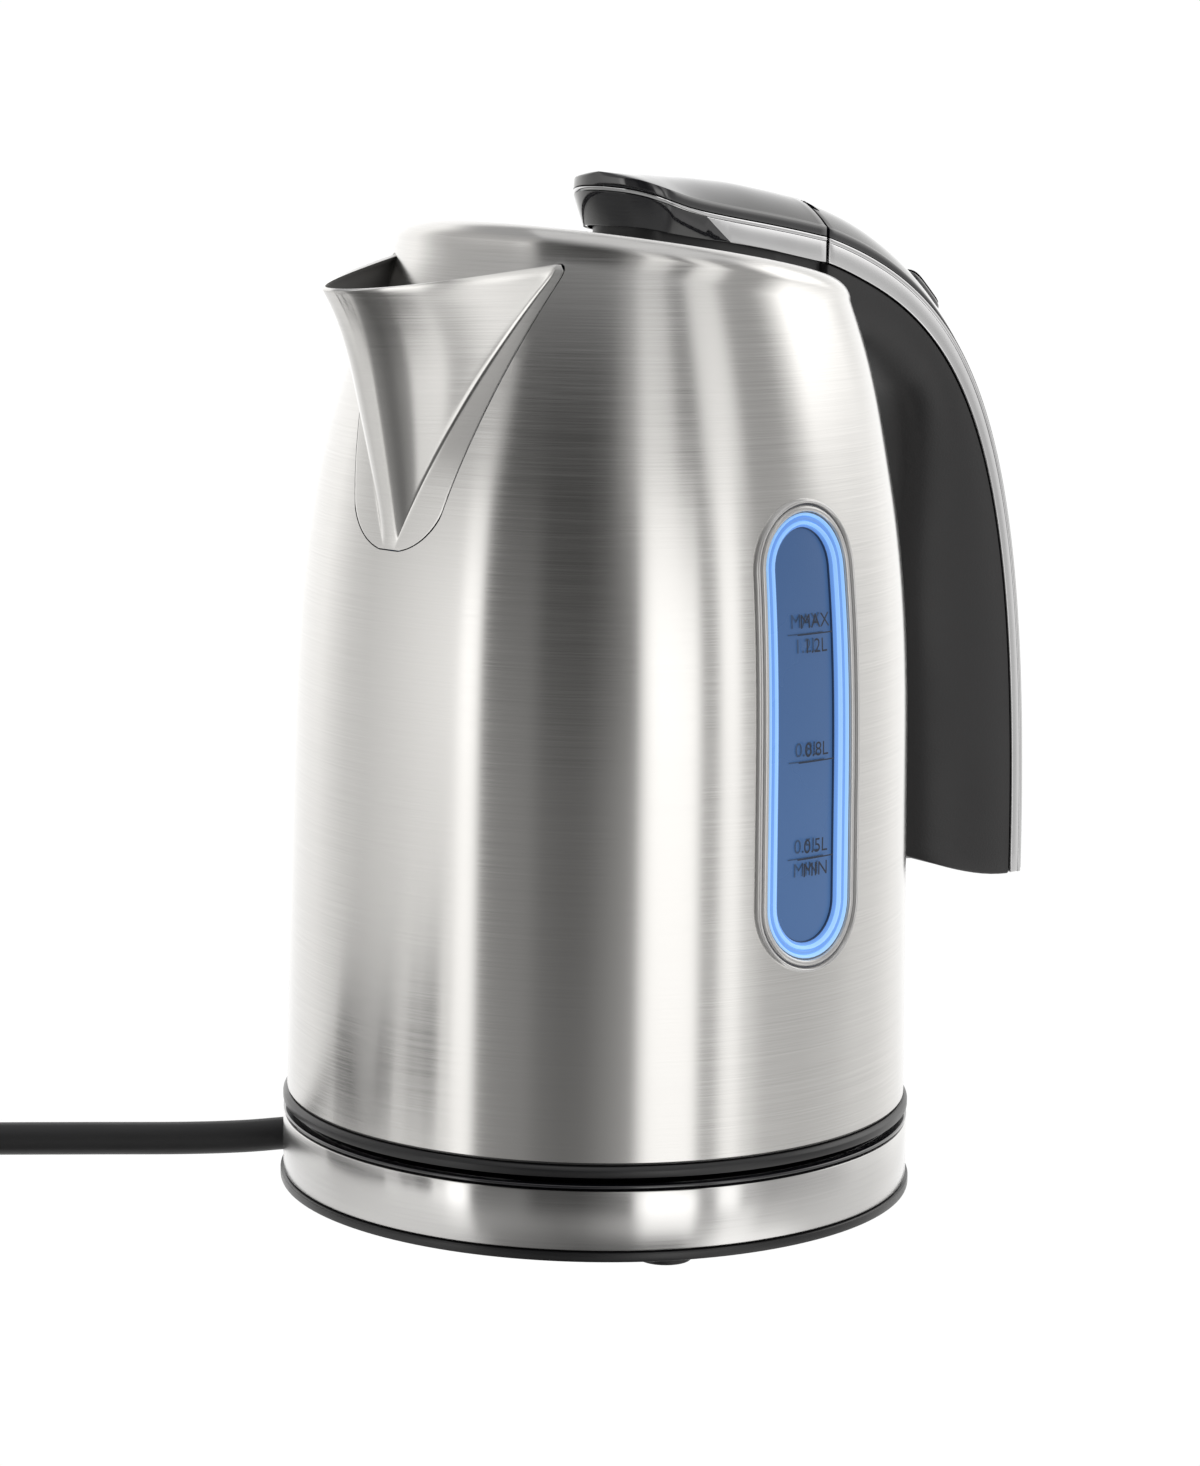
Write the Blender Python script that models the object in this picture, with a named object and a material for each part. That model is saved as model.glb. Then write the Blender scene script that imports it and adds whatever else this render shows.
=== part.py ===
"""Electric kettle: a brushed steel jug with a slanted top, a pressed V spout and a free-ended handle,
standing on a round power base with a mains lead.

Lengths below are in millimetres and MM turns them into metres. The jug's axis is x = 0 while the
shapes are worked out, with the spout towards -X and the handle towards +X. The empty "kettle" then
puts the whole object's middle at the origin.
"""
import bpy
import bmesh
from math import cos, hypot, pi, radians, sin, sqrt
from mathutils import Matrix, Vector

MM = 0.001
GAP = 0.35                 # clearance between neighbouring pieces
SEGMENTS = 40              # facets round the big turned pieces

# Jug
BODY_R = 70.1              # steel body, at its foot
FOOT_Z = 22.9              # where the steel starts, above the black ring
TAPER = 0.0145             # radius lost for each unit of height
DOME_Z = 99.0              # above this the body rounds inwards
DOME = 18.5                # radius lost to the dome at the rim
DOME_POWER = 2.6
RIM_Z = 211.7
WALL = 1.0
LEAN_Z = 162.6             # above this the body leans and its level lines slope
LEAN_SHIFT = 5.09          # how far the rim's centre moves towards the handle
LEAN_SLOPE = 0.168         # fall of the rim from spout to handle, 9.5 degrees
FLOOR_Z = 52.5             # vessel floor, seen from inside

# Base
RIM_R = 71.6
BAND_R = 70.95
LIP_R = 71.0
BASE_UNDER_Z = 2.06
BAND_Z = (4.3, 17.4)
BASE_TOP_Z = 18.6

# Spout
SPOUT_TOP_Z = 210.9
SPOUT_FOOT_Z = 150.4
SPOUT_DEPTH = 34.6         # nose ahead of the body at the mouth
MOUTH_DROP = 5.4           # the tip lies this much below the roots

# Handle and lid tongue
SPLIT_X = 58.2             # joint between the lid's tongue and the handle, and the hinge axis
HINGE_Z = 220.2
HALF_WIDTH = 14.5
SPINE = ((58.6, 213.4), (110.0, 199.5), (136.5, 170.0), (137.0, 55.0))
TONGUE_TIP_X = -3.0
TONGUE_NOSE = 10.0         # length of the tongue's rounded nose
BRIDGE_TIP_X = 1.6         # front of the tongue's core, inside the trim

# Water gauge
GAUGE_ANGLE = radians(-95.7)
GAUGE_Z = 112.1
GAUGE_SIZE = (29.6, 101.2)

# Mains lead
CORD_D = 7.6
CORD_EXIT = (-36.6, 64.4, 5.0)
CORD_HEADING = radians(137.2)
COIL_MEAN_R = 40.0
COIL_RUN = 120.0           # straight lead from the exit to where it joins the coil
PLUG_LENGTH = 62.0
PLUG_TILT = radians(8)     # the plug lies on its rim with its lead end lower

HANDLE_REACH = 142.2
SPOUT_REACH = 84.7
AXIS_X = (SPOUT_REACH - HANDLE_REACH) / 2

for leftover in list(bpy.data.objects):
    bpy.data.objects.remove(leftover, do_unlink=True)

kettle = bpy.data.objects.new("kettle", None)
bpy.context.scene.collection.objects.link(kettle)
kettle.location = (AXIS_X * MM, 0, 0)


# ---------------------------------------------------------------- materials
def finish(name, colour, roughness, metallic=0.0):
    mat = bpy.data.materials.new(name)
    mat.use_nodes = True
    shader = mat.node_tree.nodes["Principled BSDF"]
    shader.inputs["Base Color"].default_value = (*colour, 1)
    shader.inputs["Roughness"].default_value = roughness
    shader.inputs["Metallic"].default_value = metallic
    return mat


STEEL = finish("brushed_steel", (0.62, 0.61, 0.59), 0.28, 1.0)
CHROME = finish("bright_trim", (0.75, 0.75, 0.76), 0.08, 1.0)
BRASS = finish("brass", (0.72, 0.55, 0.25), 0.3, 1.0)
ALUMINIUM = finish("aluminium", (0.7, 0.7, 0.72), 0.4, 1.0)
GLOSS = finish("gloss_black", (0.015, 0.015, 0.018), 0.08)
MATTE = finish("matte_black", (0.03, 0.03, 0.032), 0.45)
RUBBER = finish("black_rubber", (0.02, 0.02, 0.02), 0.7)
SILICONE = finish("grey_silicone", (0.35, 0.36, 0.38), 0.5)
CLEAR = finish("clear_plastic", (0.75, 0.8, 0.88), 0.1)
BLUE = finish("lit_blue", (0.1, 0.3, 0.75), 0.3)


# ---------------------------------------------------------------- mesh helpers
def add_object(name, bm, material, origin=(0, 0, 0), smooth=30.0):
    """Turns a mesh in millimetres into a node whose origin is at the given point."""
    bmesh.ops.remove_doubles(bm, verts=bm.verts, dist=0.0008)
    bmesh.ops.recalc_face_normals(bm, faces=bm.faces)
    bmesh.ops.translate(bm, verts=bm.verts, vec=-Vector(origin))
    bmesh.ops.scale(bm, verts=bm.verts, vec=(MM, MM, MM))
    mesh = bpy.data.meshes.new(name)
    bm.to_mesh(mesh)
    bm.free()
    mesh.materials.append(material)
    mesh.shade_smooth()
    mesh.set_sharp_from_angle(angle=radians(smooth))
    obj = bpy.data.objects.new(name, mesh)
    bpy.context.scene.collection.objects.link(obj)
    obj.parent = kettle
    obj.location = Vector(origin) * MM
    return obj


def cutter(name, bm):
    obj = add_object(name, bm, MATTE)
    obj.hide_render = True
    obj.display_type = "WIRE"
    return obj


def boolean(obj, tool, operation="DIFFERENCE"):
    step = obj.modifiers.new(tool.name, "BOOLEAN")
    step.operation = operation
    step.solver = "EXACT"
    step.object = tool


def turned(outline, segments=SEGMENTS):
    """Spins an outline of (radius, height) points about the jug's axis into a closed body."""
    bm = bmesh.new()
    points = [bm.verts.new((r, 0, z)) for r, z in outline]
    edges = [bm.edges.new(pair) for pair in zip(points, points[1:])]
    if outline[0][0] > 0 or outline[-1][0] > 0:
        edges.append(bm.edges.new((points[-1], points[0])))
    bmesh.ops.spin(bm, geom=points + edges, cent=(0, 0, 0), axis=(0, 0, 1), angle=2 * pi,
                   steps=segments, use_merge=True)
    bmesh.ops.remove_doubles(bm, verts=bm.verts, dist=0.0008)
    return bm


def ring(r_in, r_out, z0, z1, chamfer=0.0, segments=SEGMENTS):
    c = chamfer
    if r_in == 0:
        return turned([(0, z0), (r_out - c, z0), (r_out, z0 + c), (r_out, z1 - c), (r_out - c, z1), (0, z1)]
                      if c else [(0, z0), (r_out, z0), (r_out, z1), (0, z1)], segments)
    return turned([(r_in, z0), (r_out - c, z0), (r_out, z0 + c), (r_out, z1 - c), (r_out - c, z1), (r_in, z1)]
                  if c else [(r_in, z0), (r_out, z0), (r_out, z1), (r_in, z1)], segments)


def moved(bm, matrix):
    bmesh.ops.transform(bm, matrix=matrix, verts=bm.verts)
    return bm


def reshaped(bm, rule):
    """Moves every vertex by a rule (x, y, z) -> (x, y, z)."""
    for vert in bm.verts:
        vert.co = rule(*vert.co)
    return bm


def block(x, y, z, chamfer=0.0):
    """A box from three (low, high) pairs."""
    bm = bmesh.new()
    bmesh.ops.create_cube(bm, size=1.0)
    size = (x[1] - x[0], y[1] - y[0], z[1] - z[0])
    bmesh.ops.scale(bm, verts=bm.verts, vec=size)
    bmesh.ops.translate(bm, verts=bm.verts, vec=((x[0] + x[1]) / 2, (y[0] + y[1]) / 2, (z[0] + z[1]) / 2))
    if chamfer:
        bmesh.ops.bevel(bm, geom=bm.edges[:], offset=chamfer, segments=1, profile=0.5, affect="EDGES",
                        material=-1)
    return bm


def rod(radius, start, end, end_radius=None, segments=16):
    """A cylinder or cone frustum between two points."""
    start, end = Vector(start), Vector(end)
    way = end - start
    bm = bmesh.new()
    bmesh.ops.create_cone(bm, cap_ends=True, cap_tris=False, segments=segments, radius1=radius,
                          radius2=radius if end_radius is None else end_radius, depth=way.length)
    turn = Vector((0, 0, 1)).rotation_difference(way).to_matrix().to_4x4()
    return moved(bm, Matrix.Translation((start + end) / 2) @ turn)


def skinned(rings):
    """Joins a row of equal rings of points with walls and closes both ends."""
    bm = bmesh.new()
    rows = [[bm.verts.new(p) for p in points] for points in rings]
    for a, b in zip(rows, rows[1:]):
        for i in range(len(a)):
            j = (i + 1) % len(a)
            bm.faces.new((a[i], a[j], b[j], b[i]))
    bm.faces.new(rows[0][::-1])
    bm.faces.new(rows[-1])
    return bm


def joined(*parts):
    """Puts several meshes into one, for cutters only."""
    bm = bmesh.new()
    for part in parts:
        mesh = bpy.data.meshes.new("part")
        part.to_mesh(mesh)
        part.free()
        bm.from_mesh(mesh)
        bpy.data.meshes.remove(mesh)
    return bm


def blend(a, b, t):
    return a + (b - a) * t


def smooth_step(t):
    t = min(max(t, 0.0), 1.0)
    return t * t * (3 - 2 * t)


# ---------------------------------------------------------------- the body's form
def body_radius(z):
    dome = max(0.0, (z - DOME_Z) / (RIM_Z - DOME_Z))
    return BODY_R - TAPER * (z - FOOT_Z) - DOME * dome ** DOME_POWER


def lean_share(z):
    return smooth_step((z - LEAN_Z) / (RIM_Z - LEAN_Z))


def leaned(x, y, z):
    """Carries a point of the upright jug into the leaning one."""
    share = lean_share(z)
    x += LEAN_SHIFT * share
    return x, y, z - LEAN_SLOPE * share * x


def rim_leaned(x, y, z):
    """The same for pieces that follow the rim's plane at any height."""
    x += LEAN_SHIFT
    return x, y, z - LEAN_SLOPE * x


def body_front(y, z, inset=0.0):
    """The x of the body's front at a finished height."""
    level, x = z, 0.0
    for _ in range(20):
        share = lean_share(level)
        r = body_radius(level) - inset
        x = LEAN_SHIFT * share - sqrt(max(r * r - y * y, 1.0))
        level = z + LEAN_SLOPE * share * x
    return x


def body_solid(offset, low, high, steps=12):
    """A closed solid a little larger or smaller than the body, to cut neighbours with."""
    levels = [blend(low, high, i / steps) for i in range(steps + 1)]
    outline = [(0, low)] + [(body_radius(z) + offset, z) for z in levels] + [(0, high)]
    return reshaped(turned(outline), leaned)


# ---------------------------------------------------------------- base
def base_parts():
    notch_dir = Vector((cos(CORD_HEADING), sin(CORD_HEADING), 0))
    inner = Vector(CORD_EXIT) - notch_dir * 32
    outer = Vector(CORD_EXIT) + notch_dir * 14
    notch = moved(block((0, (outer - inner).length), (-5.9, 5.9), (-2, 11.2)),
                  Matrix.Translation((inner.x, inner.y, 0)) @ Matrix.Rotation(CORD_HEADING, 4, "Z"))
    notch_tool = cutter("cord_notch", notch)
    cover = add_object("base_cover", turned([
        (18.4, 15.6), (27, 15.6), (29, 16.6), (66, 16.6), (67.5, 15.0), (69.3, 15.0), (69.3, 17.75),
        (LIP_R - 0.4, 17.75), (LIP_R, 18.0), (LIP_R - 0.2, BASE_TOP_Z), (68.4, BASE_TOP_Z), (66.8, 18.0),
        (30, 18.0), (28, 17.0), (18.4, 17.0)]), GLOSS)
    band = add_object("base_band", ring(69.7, BAND_R, BAND_Z[0], BAND_Z[1], 0.2), STEEL)
    under = add_object("base_bottom", turned([
        (0, 3.6), (16, 3.6), (18, BASE_UNDER_Z), (RIM_R - 0.3, BASE_UNDER_Z), (RIM_R, BASE_UNDER_Z + 0.3),
        (RIM_R, 3.7), (RIM_R - 0.3, 4.0), (69.3, 4.0), (69.3, 14.6), (67.3, 14.6), (66.3, 4.6), (0, 4.6)]), MATTE)
    for piece in (band, under):
        boolean(piece, notch_tool)
    add_object("base_socket", turned([
        (4.0, 6.0), (16.5, 6.0), (16.5, 12.5), (17.9, 12.5), (17.9, 28.6), (16.9, 29.6), (12.6, 29.6),
        (12.6, 20.0), (8.4, 20.0), (8.4, 29.6), (4.0, 29.6)], 32), MATTE)
    add_object("contact_ring", ring(8.8, 12.2, 20.4, 27.0, 0.0, 32), BRASS)
    add_object("socket_core", ring(0, 3.6, 6.2, 32.4, 0.6, 24), BRASS)
    foot_angle = radians(-122.3)
    for i in range(4):
        a = foot_angle + i * pi / 2
        pad = turned([(0, 0), (5.3, 0), (5.9, 0.5), (5.9, 1.75), (0, 1.75)], 20)
        add_object(f"foot_{i + 1}", moved(pad, Matrix.Translation((62.4 * cos(a), 62.4 * sin(a), 0))), RUBBER)
    for i in range(2):
        b = foot_angle + pi / 4 + i * pi
        head = turned([(0, 0.9), (3.2, 0.9), (3.2, 1.7), (0, 1.7)], 16)
        place = Matrix.Translation((40 * cos(b), 40 * sin(b), 0))
        add_object(f"base_screw_{i + 1}", moved(head, place), STEEL)
    start = Vector(CORD_EXIT) - notch_dir * 27
    start.z = CORD_EXIT[2] + 0.6
    relief = rod(5.2, start, Vector(CORD_EXIT) - notch_dir * 0.7 + Vector((0, 0, 0.3)), 4.6)
    add_object("strain_relief", relief, RUBBER)
    clamp = moved(block((-3.2, 3.2), (-5.4, 5.4), (11.8, 14.2), 0.4),
                  Matrix.Translation((start.x + 9 * notch_dir.x, start.y + 9 * notch_dir.y, 0))
                  @ Matrix.Rotation(CORD_HEADING, 4, "Z"))
    add_object("cord_clamp", clamp, MATTE)


# ---------------------------------------------------------------- jug shell and spout
def jug_body():
    steps = 11
    levels = [FOOT_Z + (RIM_Z - 1.5 - FOOT_Z) * (1 - (1 - i / steps) ** 1.5) for i in range(steps + 1)]
    outside = [(body_radius(z), z) for z in levels]
    lip = body_radius(RIM_Z) - 1.9
    crown = [(lip + 1.9 * cos(radians(a)), RIM_Z - 0.9 + 1.5 * sin(radians(a))) for a in (20, 55, 90, 135)]
    inside = [(body_radius(z) - WALL, z) for z in reversed(levels) if z < 203]
    bm = turned(outside + crown + [(lip - 1.5, RIM_Z - 3.5), (lip - 1.5, RIM_Z - 6.5)] + inside)
    body = add_object("jug_body", reshaped(bm, leaned), STEEL)
    boolean(body, cutter("spout_opening", spout_cutter()))
    width, height = GAUGE_SIZE[0] - 5.0, GAUGE_SIZE[1] - 5.0
    slot = stadium_solid(width, height, 0, 24)
    place = Matrix.Rotation(GAUGE_ANGLE, 4, "Z") @ Matrix.Translation((57, 0, GAUGE_Z))
    boolean(body, cutter("gauge_opening", moved(slot, place)))
    boolean(body, cutter("switch_opening", block((60, 80), (-9.6, 9.6), (20, 37.5))))


def seam_half_width(z, grow=0.0):
    """Half the width of the spout's flange at a height: straight sides over a round foot."""
    line = 14.1 + 0.262 * (z - 162.5)
    radius, centre = 14.2, 164.4
    if z < centre - 1:
        line = min(line, sqrt(max((radius + grow) ** 2 - (centre - z) ** 2, 0.04)))
    return line + grow


def crease_half_width(z):
    return max(1.6, 25.2 - 0.39 * (211.0 - z))


def spout_cutter():
    heights = [SPOUT_FOOT_Z - 0.2 - GAP + 0.02] + [SPOUT_FOOT_Z + d for d in (0.8, 2.5, 5, 9, 13)]
    heights += [190, 211.4]
    side = [(seam_half_width(z, GAP), z) for z in heights]
    outline = [(y, z) for y, z in side] + [(-y, z) for y, z in reversed(side)]
    return skinned([[(x, y, z) for y, z in outline] for x in (-92.0, -30.0)])


def spout_row(v, inset):
    """One level of the spout, from one flange edge over the nose to the other."""
    z = blend(SPOUT_TOP_Z, SPOUT_FOOT_Z, v)
    seam, crease = seam_half_width(z), crease_half_width(z)
    crease = min(crease, seam * 0.72)
    rise = ((z - SPOUT_FOOT_Z) / (SPOUT_TOP_Z - SPOUT_FOOT_Z)) ** 1.35
    nose_z = z - MOUTH_DROP * (1 - v) ** 2
    corner_x = body_front(crease, z, inset)
    nose_x = body_front(0, nose_z, inset) - SPOUT_DEPTH * rise
    weight = 3.0
    apex_x = (nose_x * (1 + weight) - corner_x) / weight
    apex_z = (nose_z * (1 + weight) - z) / weight
    inner = crease - inset * 0.9
    flange = [(body_front(y, z, inset), y, z) for y in (seam, blend(seam, crease, 0.55))]
    points = []
    count = 14
    for i in range(count + 1):
        t = i / count
        a, b, c = (1 - t) ** 2, 2 * t * (1 - t) * weight, t * t
        total = a + b + c
        x = (a * corner_x + b * apex_x + c * corner_x) / total + inset * 0.4 * min(1, rise * 4)
        points.append((x, inner * (a - c) / total, (a * z + b * apex_z + c * z) / total))
    mirrored = [(x, -y, h) for x, y, h in reversed(flange)]
    return flange + points + mirrored


def spout():
    """The pressed spout as a sheet with a front and a back, closed round its edge."""
    rows = 12
    bm = bmesh.new()
    sheets = []
    for inset in (0.0, 0.9):
        sheets.append([[bm.verts.new(p) for p in spout_row(i / rows, inset)] for i in range(rows + 1)])
    front, back = sheets
    across = len(front[0])
    for i in range(rows):
        for j in range(across - 1):
            bm.faces.new((front[i][j], front[i][j + 1], front[i + 1][j + 1], front[i + 1][j]))
            bm.faces.new((back[i][j], back[i + 1][j], back[i + 1][j + 1], back[i][j + 1]))
    for j in range(across - 1):
        for i in (0, rows):
            bm.faces.new((front[i][j], back[i][j], back[i][j + 1], front[i][j + 1]))
    for i in range(rows):
        for j in (0, across - 1):
            bm.faces.new((front[i][j], front[i + 1][j], back[i + 1][j], back[i][j]))
    add_object("spout", bm, STEEL)


def spout_strainer():
    """A conforming plate behind the spout with rows of pouring slots."""
    def section(z, columns=6):
        half = min(crease_half_width(z) + 1.5, seam_half_width(z) - 2.5)
        ys = [blend(-half, half, k / columns) for k in range(columns + 1)]
        return ([(body_front(y, z, 1.6), y, z) for y in ys] +
                [(body_front(y, z, 2.8), y, z) for y in reversed(ys)])
    plate = add_object("spout_strainer", skinned([section(156 + 5.3 * k) for k in range(11)]), STEEL)
    slots = [block((-75, -30), (y - 2.6, y + 2.6), (z - 3, z + 3)) for z, half in ((196, 2), (186, 1), (176, 1))
             for y in [8.2 * k for k in range(-half, half + 1)] if abs(y) < crease_half_width(z) - 3]
    boolean(plate, cutter("strainer_slots", joined(*slots)))


# ---------------------------------------------------------------- water gauge
def stadium_outline(width, height, arc=10, rows=6):
    """An oval with points along its straight sides too, so that it can follow the body."""
    r = width / 2
    straight = height / 2 - r
    top = [(r * cos(a), straight + r * sin(a)) for a in [pi * k / arc for k in range(arc + 1)]]
    side = [(-r, blend(straight, -straight, k / rows)) for k in range(1, rows)]
    half = top + side
    return half + [(-t, -z) for t, z in half]


def stadium_solid(width, height, x0, x1):
    return skinned([[(x, t, z) for t, z in stadium_outline(width, height)] for x in (x0, x1)])


def on_body(depth, t, z):
    """Wraps a gauge point (depth outwards, sideways, height) on to the body."""
    angle = GAUGE_ANGLE + t / BODY_R
    r = body_radius(z) + depth
    return r * cos(angle), r * sin(angle), z


def gauge_loop(outer, inner, depth0, depth1):
    """An oval frame that follows the body."""
    bm = bmesh.new()
    loops = []
    for size in (outer, inner):
        for depth in (depth0, depth1):
            loops.append([bm.verts.new(on_body(depth, t, GAUGE_Z + z)) for t, z in stadium_outline(*size)])
    order = (loops[0], loops[1], loops[3], loops[2])
    for a, b in zip(order, order[1:] + order[:1]):
        for i in range(len(a)):
            j = (i + 1) % len(a)
            bm.faces.new((a[i], a[j], b[j], b[i]))
    return bm


def gauge_plate(width, height, depth0, depth1, columns=4):
    """A solid oval plate that follows the body."""
    sections = []
    for reach, dz in sorted({(round(t, 4), round(z, 4)) for t, z in stadium_outline(width, height) if t > 0.5},
                            key=lambda point: point[1]):
        ts = [blend(-reach, reach, c / columns) for c in range(columns + 1)]
        z = GAUGE_Z + dz
        sections.append([on_body(depth0, t, z) for t in ts] + [on_body(depth1, t, z) for t in reversed(ts)])
    return skinned(sections)


def gauge_parts():
    w, h = GAUGE_SIZE
    add_object("gauge_frame", gauge_loop((w, h), (w - 6.2, h - 6.2), 0.35, 1.6), CLEAR)
    add_object("gauge_lens", gauge_plate(w - 7.2, h - 7.2, -2.4, 1.0), CLEAR)
    add_object("gauge_seal", gauge_loop((w + 3, h + 3), (w - 6.2, h - 6.2), -3.4, -WALL - 0.6), SILICONE)
    add_object("gauge_panel", gauge_plate(w - 9, h - 9, -7.6, -6.4), BLUE)


# ---------------------------------------------------------------- jug foot
def jug_foot():
    add_object("bottom_ring", turned([
        (66.5, 20.3), (70.4, 20.3), (LIP_R, 20.9), (LIP_R, 21.7), (70.3, FOOT_Z - GAP), (68.4, FOOT_Z - GAP),
        (68.4, 26.0), (66.5, 26.0)]), MATTE)
    cover = add_object("underside_cover", turned([
        (24.2, 20.6), (65.9, 20.6), (65.9, 22.4), (26.2, 22.4), (26.2, 32.0), (24.2, 32.0)]), MATTE)
    boolean(cover, cutter("cover_relief", block((58.6, 80), (-10.5, 10.5), (19, 30))))
    ring_piece = bpy.data.objects["bottom_ring"]
    boolean(ring_piece, cutter("ring_relief", block((60, 80), (-9.6, 9.6), (22.2, 30))))
    add_object("jug_connector", turned([
        (18.6, 20.6), (23.6, 20.6), (23.6, 36.6), (0, 36.6), (0, 34.2), (18.6, 34.2)], 32), MATTE)
    add_object("control_unit", turned([(0, 37.0), (26, 37.0), (27, 38), (27, 43.2), (0, 43.2)], 28), MATTE)
    add_object("bimetal_disc", moved(ring(0, 9.5, 37.0, 38.0, 0, 24), Matrix.Translation((44, 0, 0))), BRASS)
    add_object("heating_element", heater(), ALUMINIUM)
    add_object("diffuser", ring(0, 52, 48.7, 51.0, 0.3), ALUMINIUM)
    inner = body_radius(FLOOR_Z) - WALL - GAP
    add_object("vessel_floor", turned([
        (0, 51.4), (inner - 1.5, 51.4), (inner - 0.2, 50.4), (inner, 54.5), (inner - 1.0, 54.5),
        (inner - 1.8, FLOOR_Z), (0, FLOOR_Z)]), STEEL)
    board = block((49.5, 51.5), (-12, 12), (40, 47.5))
    add_object("led_board", moved(board, Matrix.Rotation(GAUGE_ANGLE, 4, "Z")), BLUE)
    add_object("steam_tube", turned_tube((49.5, 0), 2.4, 3.4, 53.0, 183.0), MATTE)


def turned_tube(centre, r_in, r_out, z0, z1):
    return moved(ring(r_in, r_out, z0, z1, 0, 14), Matrix.Translation((*centre, 0)))


def heater():
    """A bent tube under the vessel floor, open at the handle side with two short legs."""
    turn, tube, z = 37.0, 3.0, 45.4
    sections = []
    for k in range(25):
        a = radians(blend(18, 342, k / 24))
        centre = Vector((turn * cos(a), turn * sin(a), z))
        out = Vector((cos(a), sin(a), 0))
        sections.append([centre + out * (tube * cos(b)) + Vector((0, 0, tube * sin(b)))
                         for b in [2 * pi * j / 8 for j in range(8)]])
    return skinned(sections)


# ---------------------------------------------------------------- top collar and lid
def collar():
    add_object("top_collar", reshaped(turned([
        (41.9, 199.0), (43.2, 199.0), (44.9, 202.6), (44.9, 209.6), (43.3, 209.6), (43.3, 207.2), (41.9, 206.8)]),
        rim_leaned), MATTE)


def lid_plates():
    hinge = (SPLIT_X, 0, HINGE_Z)
    add_object("lid_plate", reshaped(turned([
        (0, 208.0), (42.0, 208.0), (42.7, 208.4), (42.6, 209.0), (41.8, 209.4), (0, 209.8)]), rim_leaned),
        STEEL, hinge)
    add_object("lid_plug", reshaped(turned([
        (0, 198.4), (36.5, 198.4), (38.9, 199.4), (39.4, 206.0), (39.4, 207.6), (0, 207.6)]), rim_leaned),
        MATTE, hinge)
    add_object("lid_gasket", reshaped(turned([
        (39.8, 203.4), (40.7, 203.2), (40.9, 204.4), (40.7, 205.6), (39.8, 205.6)]), rim_leaned), SILICONE, hinge)
    for name, y in (("lid_screw_1", 20), ("lid_screw_2", -20)):
        head = moved(ring(0, 2.6, 196.8, 198.05, 0, 14), Matrix.Translation((0, y, 0)))
        add_object(name, reshaped(head, rim_leaned), STEEL, hinge)


TONGUE_TOP = ((-3.0, 226.2), (1.6, 223.9), (8.7, 221.7), (15.4, 220.3), (25.6, 218.7), (38.0, 216.9),
              (50.0, 215.0), (58.6, 213.4))
TONGUE_FOOT = ((-3.0, 217.2), (14.5, 214.5), (27.4, 213.0), (41.4, 210.8), (58.6, 207.7))
CROWN = ((-3.0, 0.2), (3.0, 2.6), (10.0, 4.4), (23.0, 5.8), (36.0, 6.6), (58.6, 6.6))


def along(table, x):
    for (x0, a), (x1, b) in zip(table, table[1:]):
        if x <= x1:
            return blend(a, b, max(0.0, (x - x0) / (x1 - x0)))
    return table[-1][1]


def tongue_half(x, half, tip=TONGUE_TIP_X):
    """The tongue's half width: parallel sides and an elliptical nose."""
    back = TONGUE_TIP_X + TONGUE_NOSE
    if x >= back:
        return half
    return half * sqrt(max(1 - ((back - x) / (back - tip)) ** 2, 0.01))


def tongue_stations(count_nose=5, count_body=9, end=SPLIT_X - 0.5, tip=TONGUE_TIP_X):
    back = TONGUE_TIP_X + TONGUE_NOSE
    nose = [back - (back - tip) * cos(pi / 2 * k / count_nose) for k in range(count_nose)]
    return nose + [blend(back, end, k / count_body) for k in range(count_body + 1)]


def crowned_ring(half, band, crown, base, steps=8):
    """A section (sideways, height) with a flat foot, short sides and a crowned top."""
    ys = [half * sin(pi / 2 * (2 * k / steps - 1)) for k in range(steps + 1)]
    top = [(y, base + band + crown * (1 - (y / half) ** 2)) for y in ys]
    return [(-half, base)] + top + [(half, base)]


def lid_tongue():
    hinge = (SPLIT_X, 0, HINGE_Z)
    cover = skinned([[(x, y, z) for y, z in crowned_ring(tongue_half(x, 14.2), 2.6, along(CROWN, x),
                                                         along(TONGUE_TOP, x) + 0.3)]
                     for x in tongue_stations()])
    cover = add_object("lid_cover", cover, GLOSS, hinge)
    knuckles = joined(*[rod(2.35, (SPLIT_X, s * 3.0, HINGE_Z), (SPLIT_X, s * 8.3, HINGE_Z), segments=20)
                        for s in (-1, 1)])
    boolean(cover, cutter("knuckles", knuckles), "UNION")
    boolean(cover, cutter("pin_bore", rod(1.35, (SPLIT_X, -8.9, HINGE_Z), (SPLIT_X, 8.9, HINGE_Z))))
    eye = rod(2.75, (SPLIT_X, -2.95, HINGE_Z), (SPLIT_X, 2.95, HINGE_Z), segments=20)
    boolean(cover, cutter("eye_gap", eye))
    trim_path = []
    for x in tongue_stations(6, 5, tip=TONGUE_TIP_X + 0.02):
        trim_path.append((x, tongue_half(x, HALF_WIDTH - 0.2)))
    path = [(x, -w) for x, w in reversed(trim_path)] + [(x, w) for x, w in trim_path[1:]]
    add_object("lid_trim", skinned(trim_sections(path, 1.2)), CHROME, hinge)
    bridge = skinned([[(x, y, z) for y, z in bridge_ring(x)] for x in tongue_stations(4, 8, tip=BRIDGE_TIP_X)])
    add_object("lid_bridge", bridge, MATTE, hinge)


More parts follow.
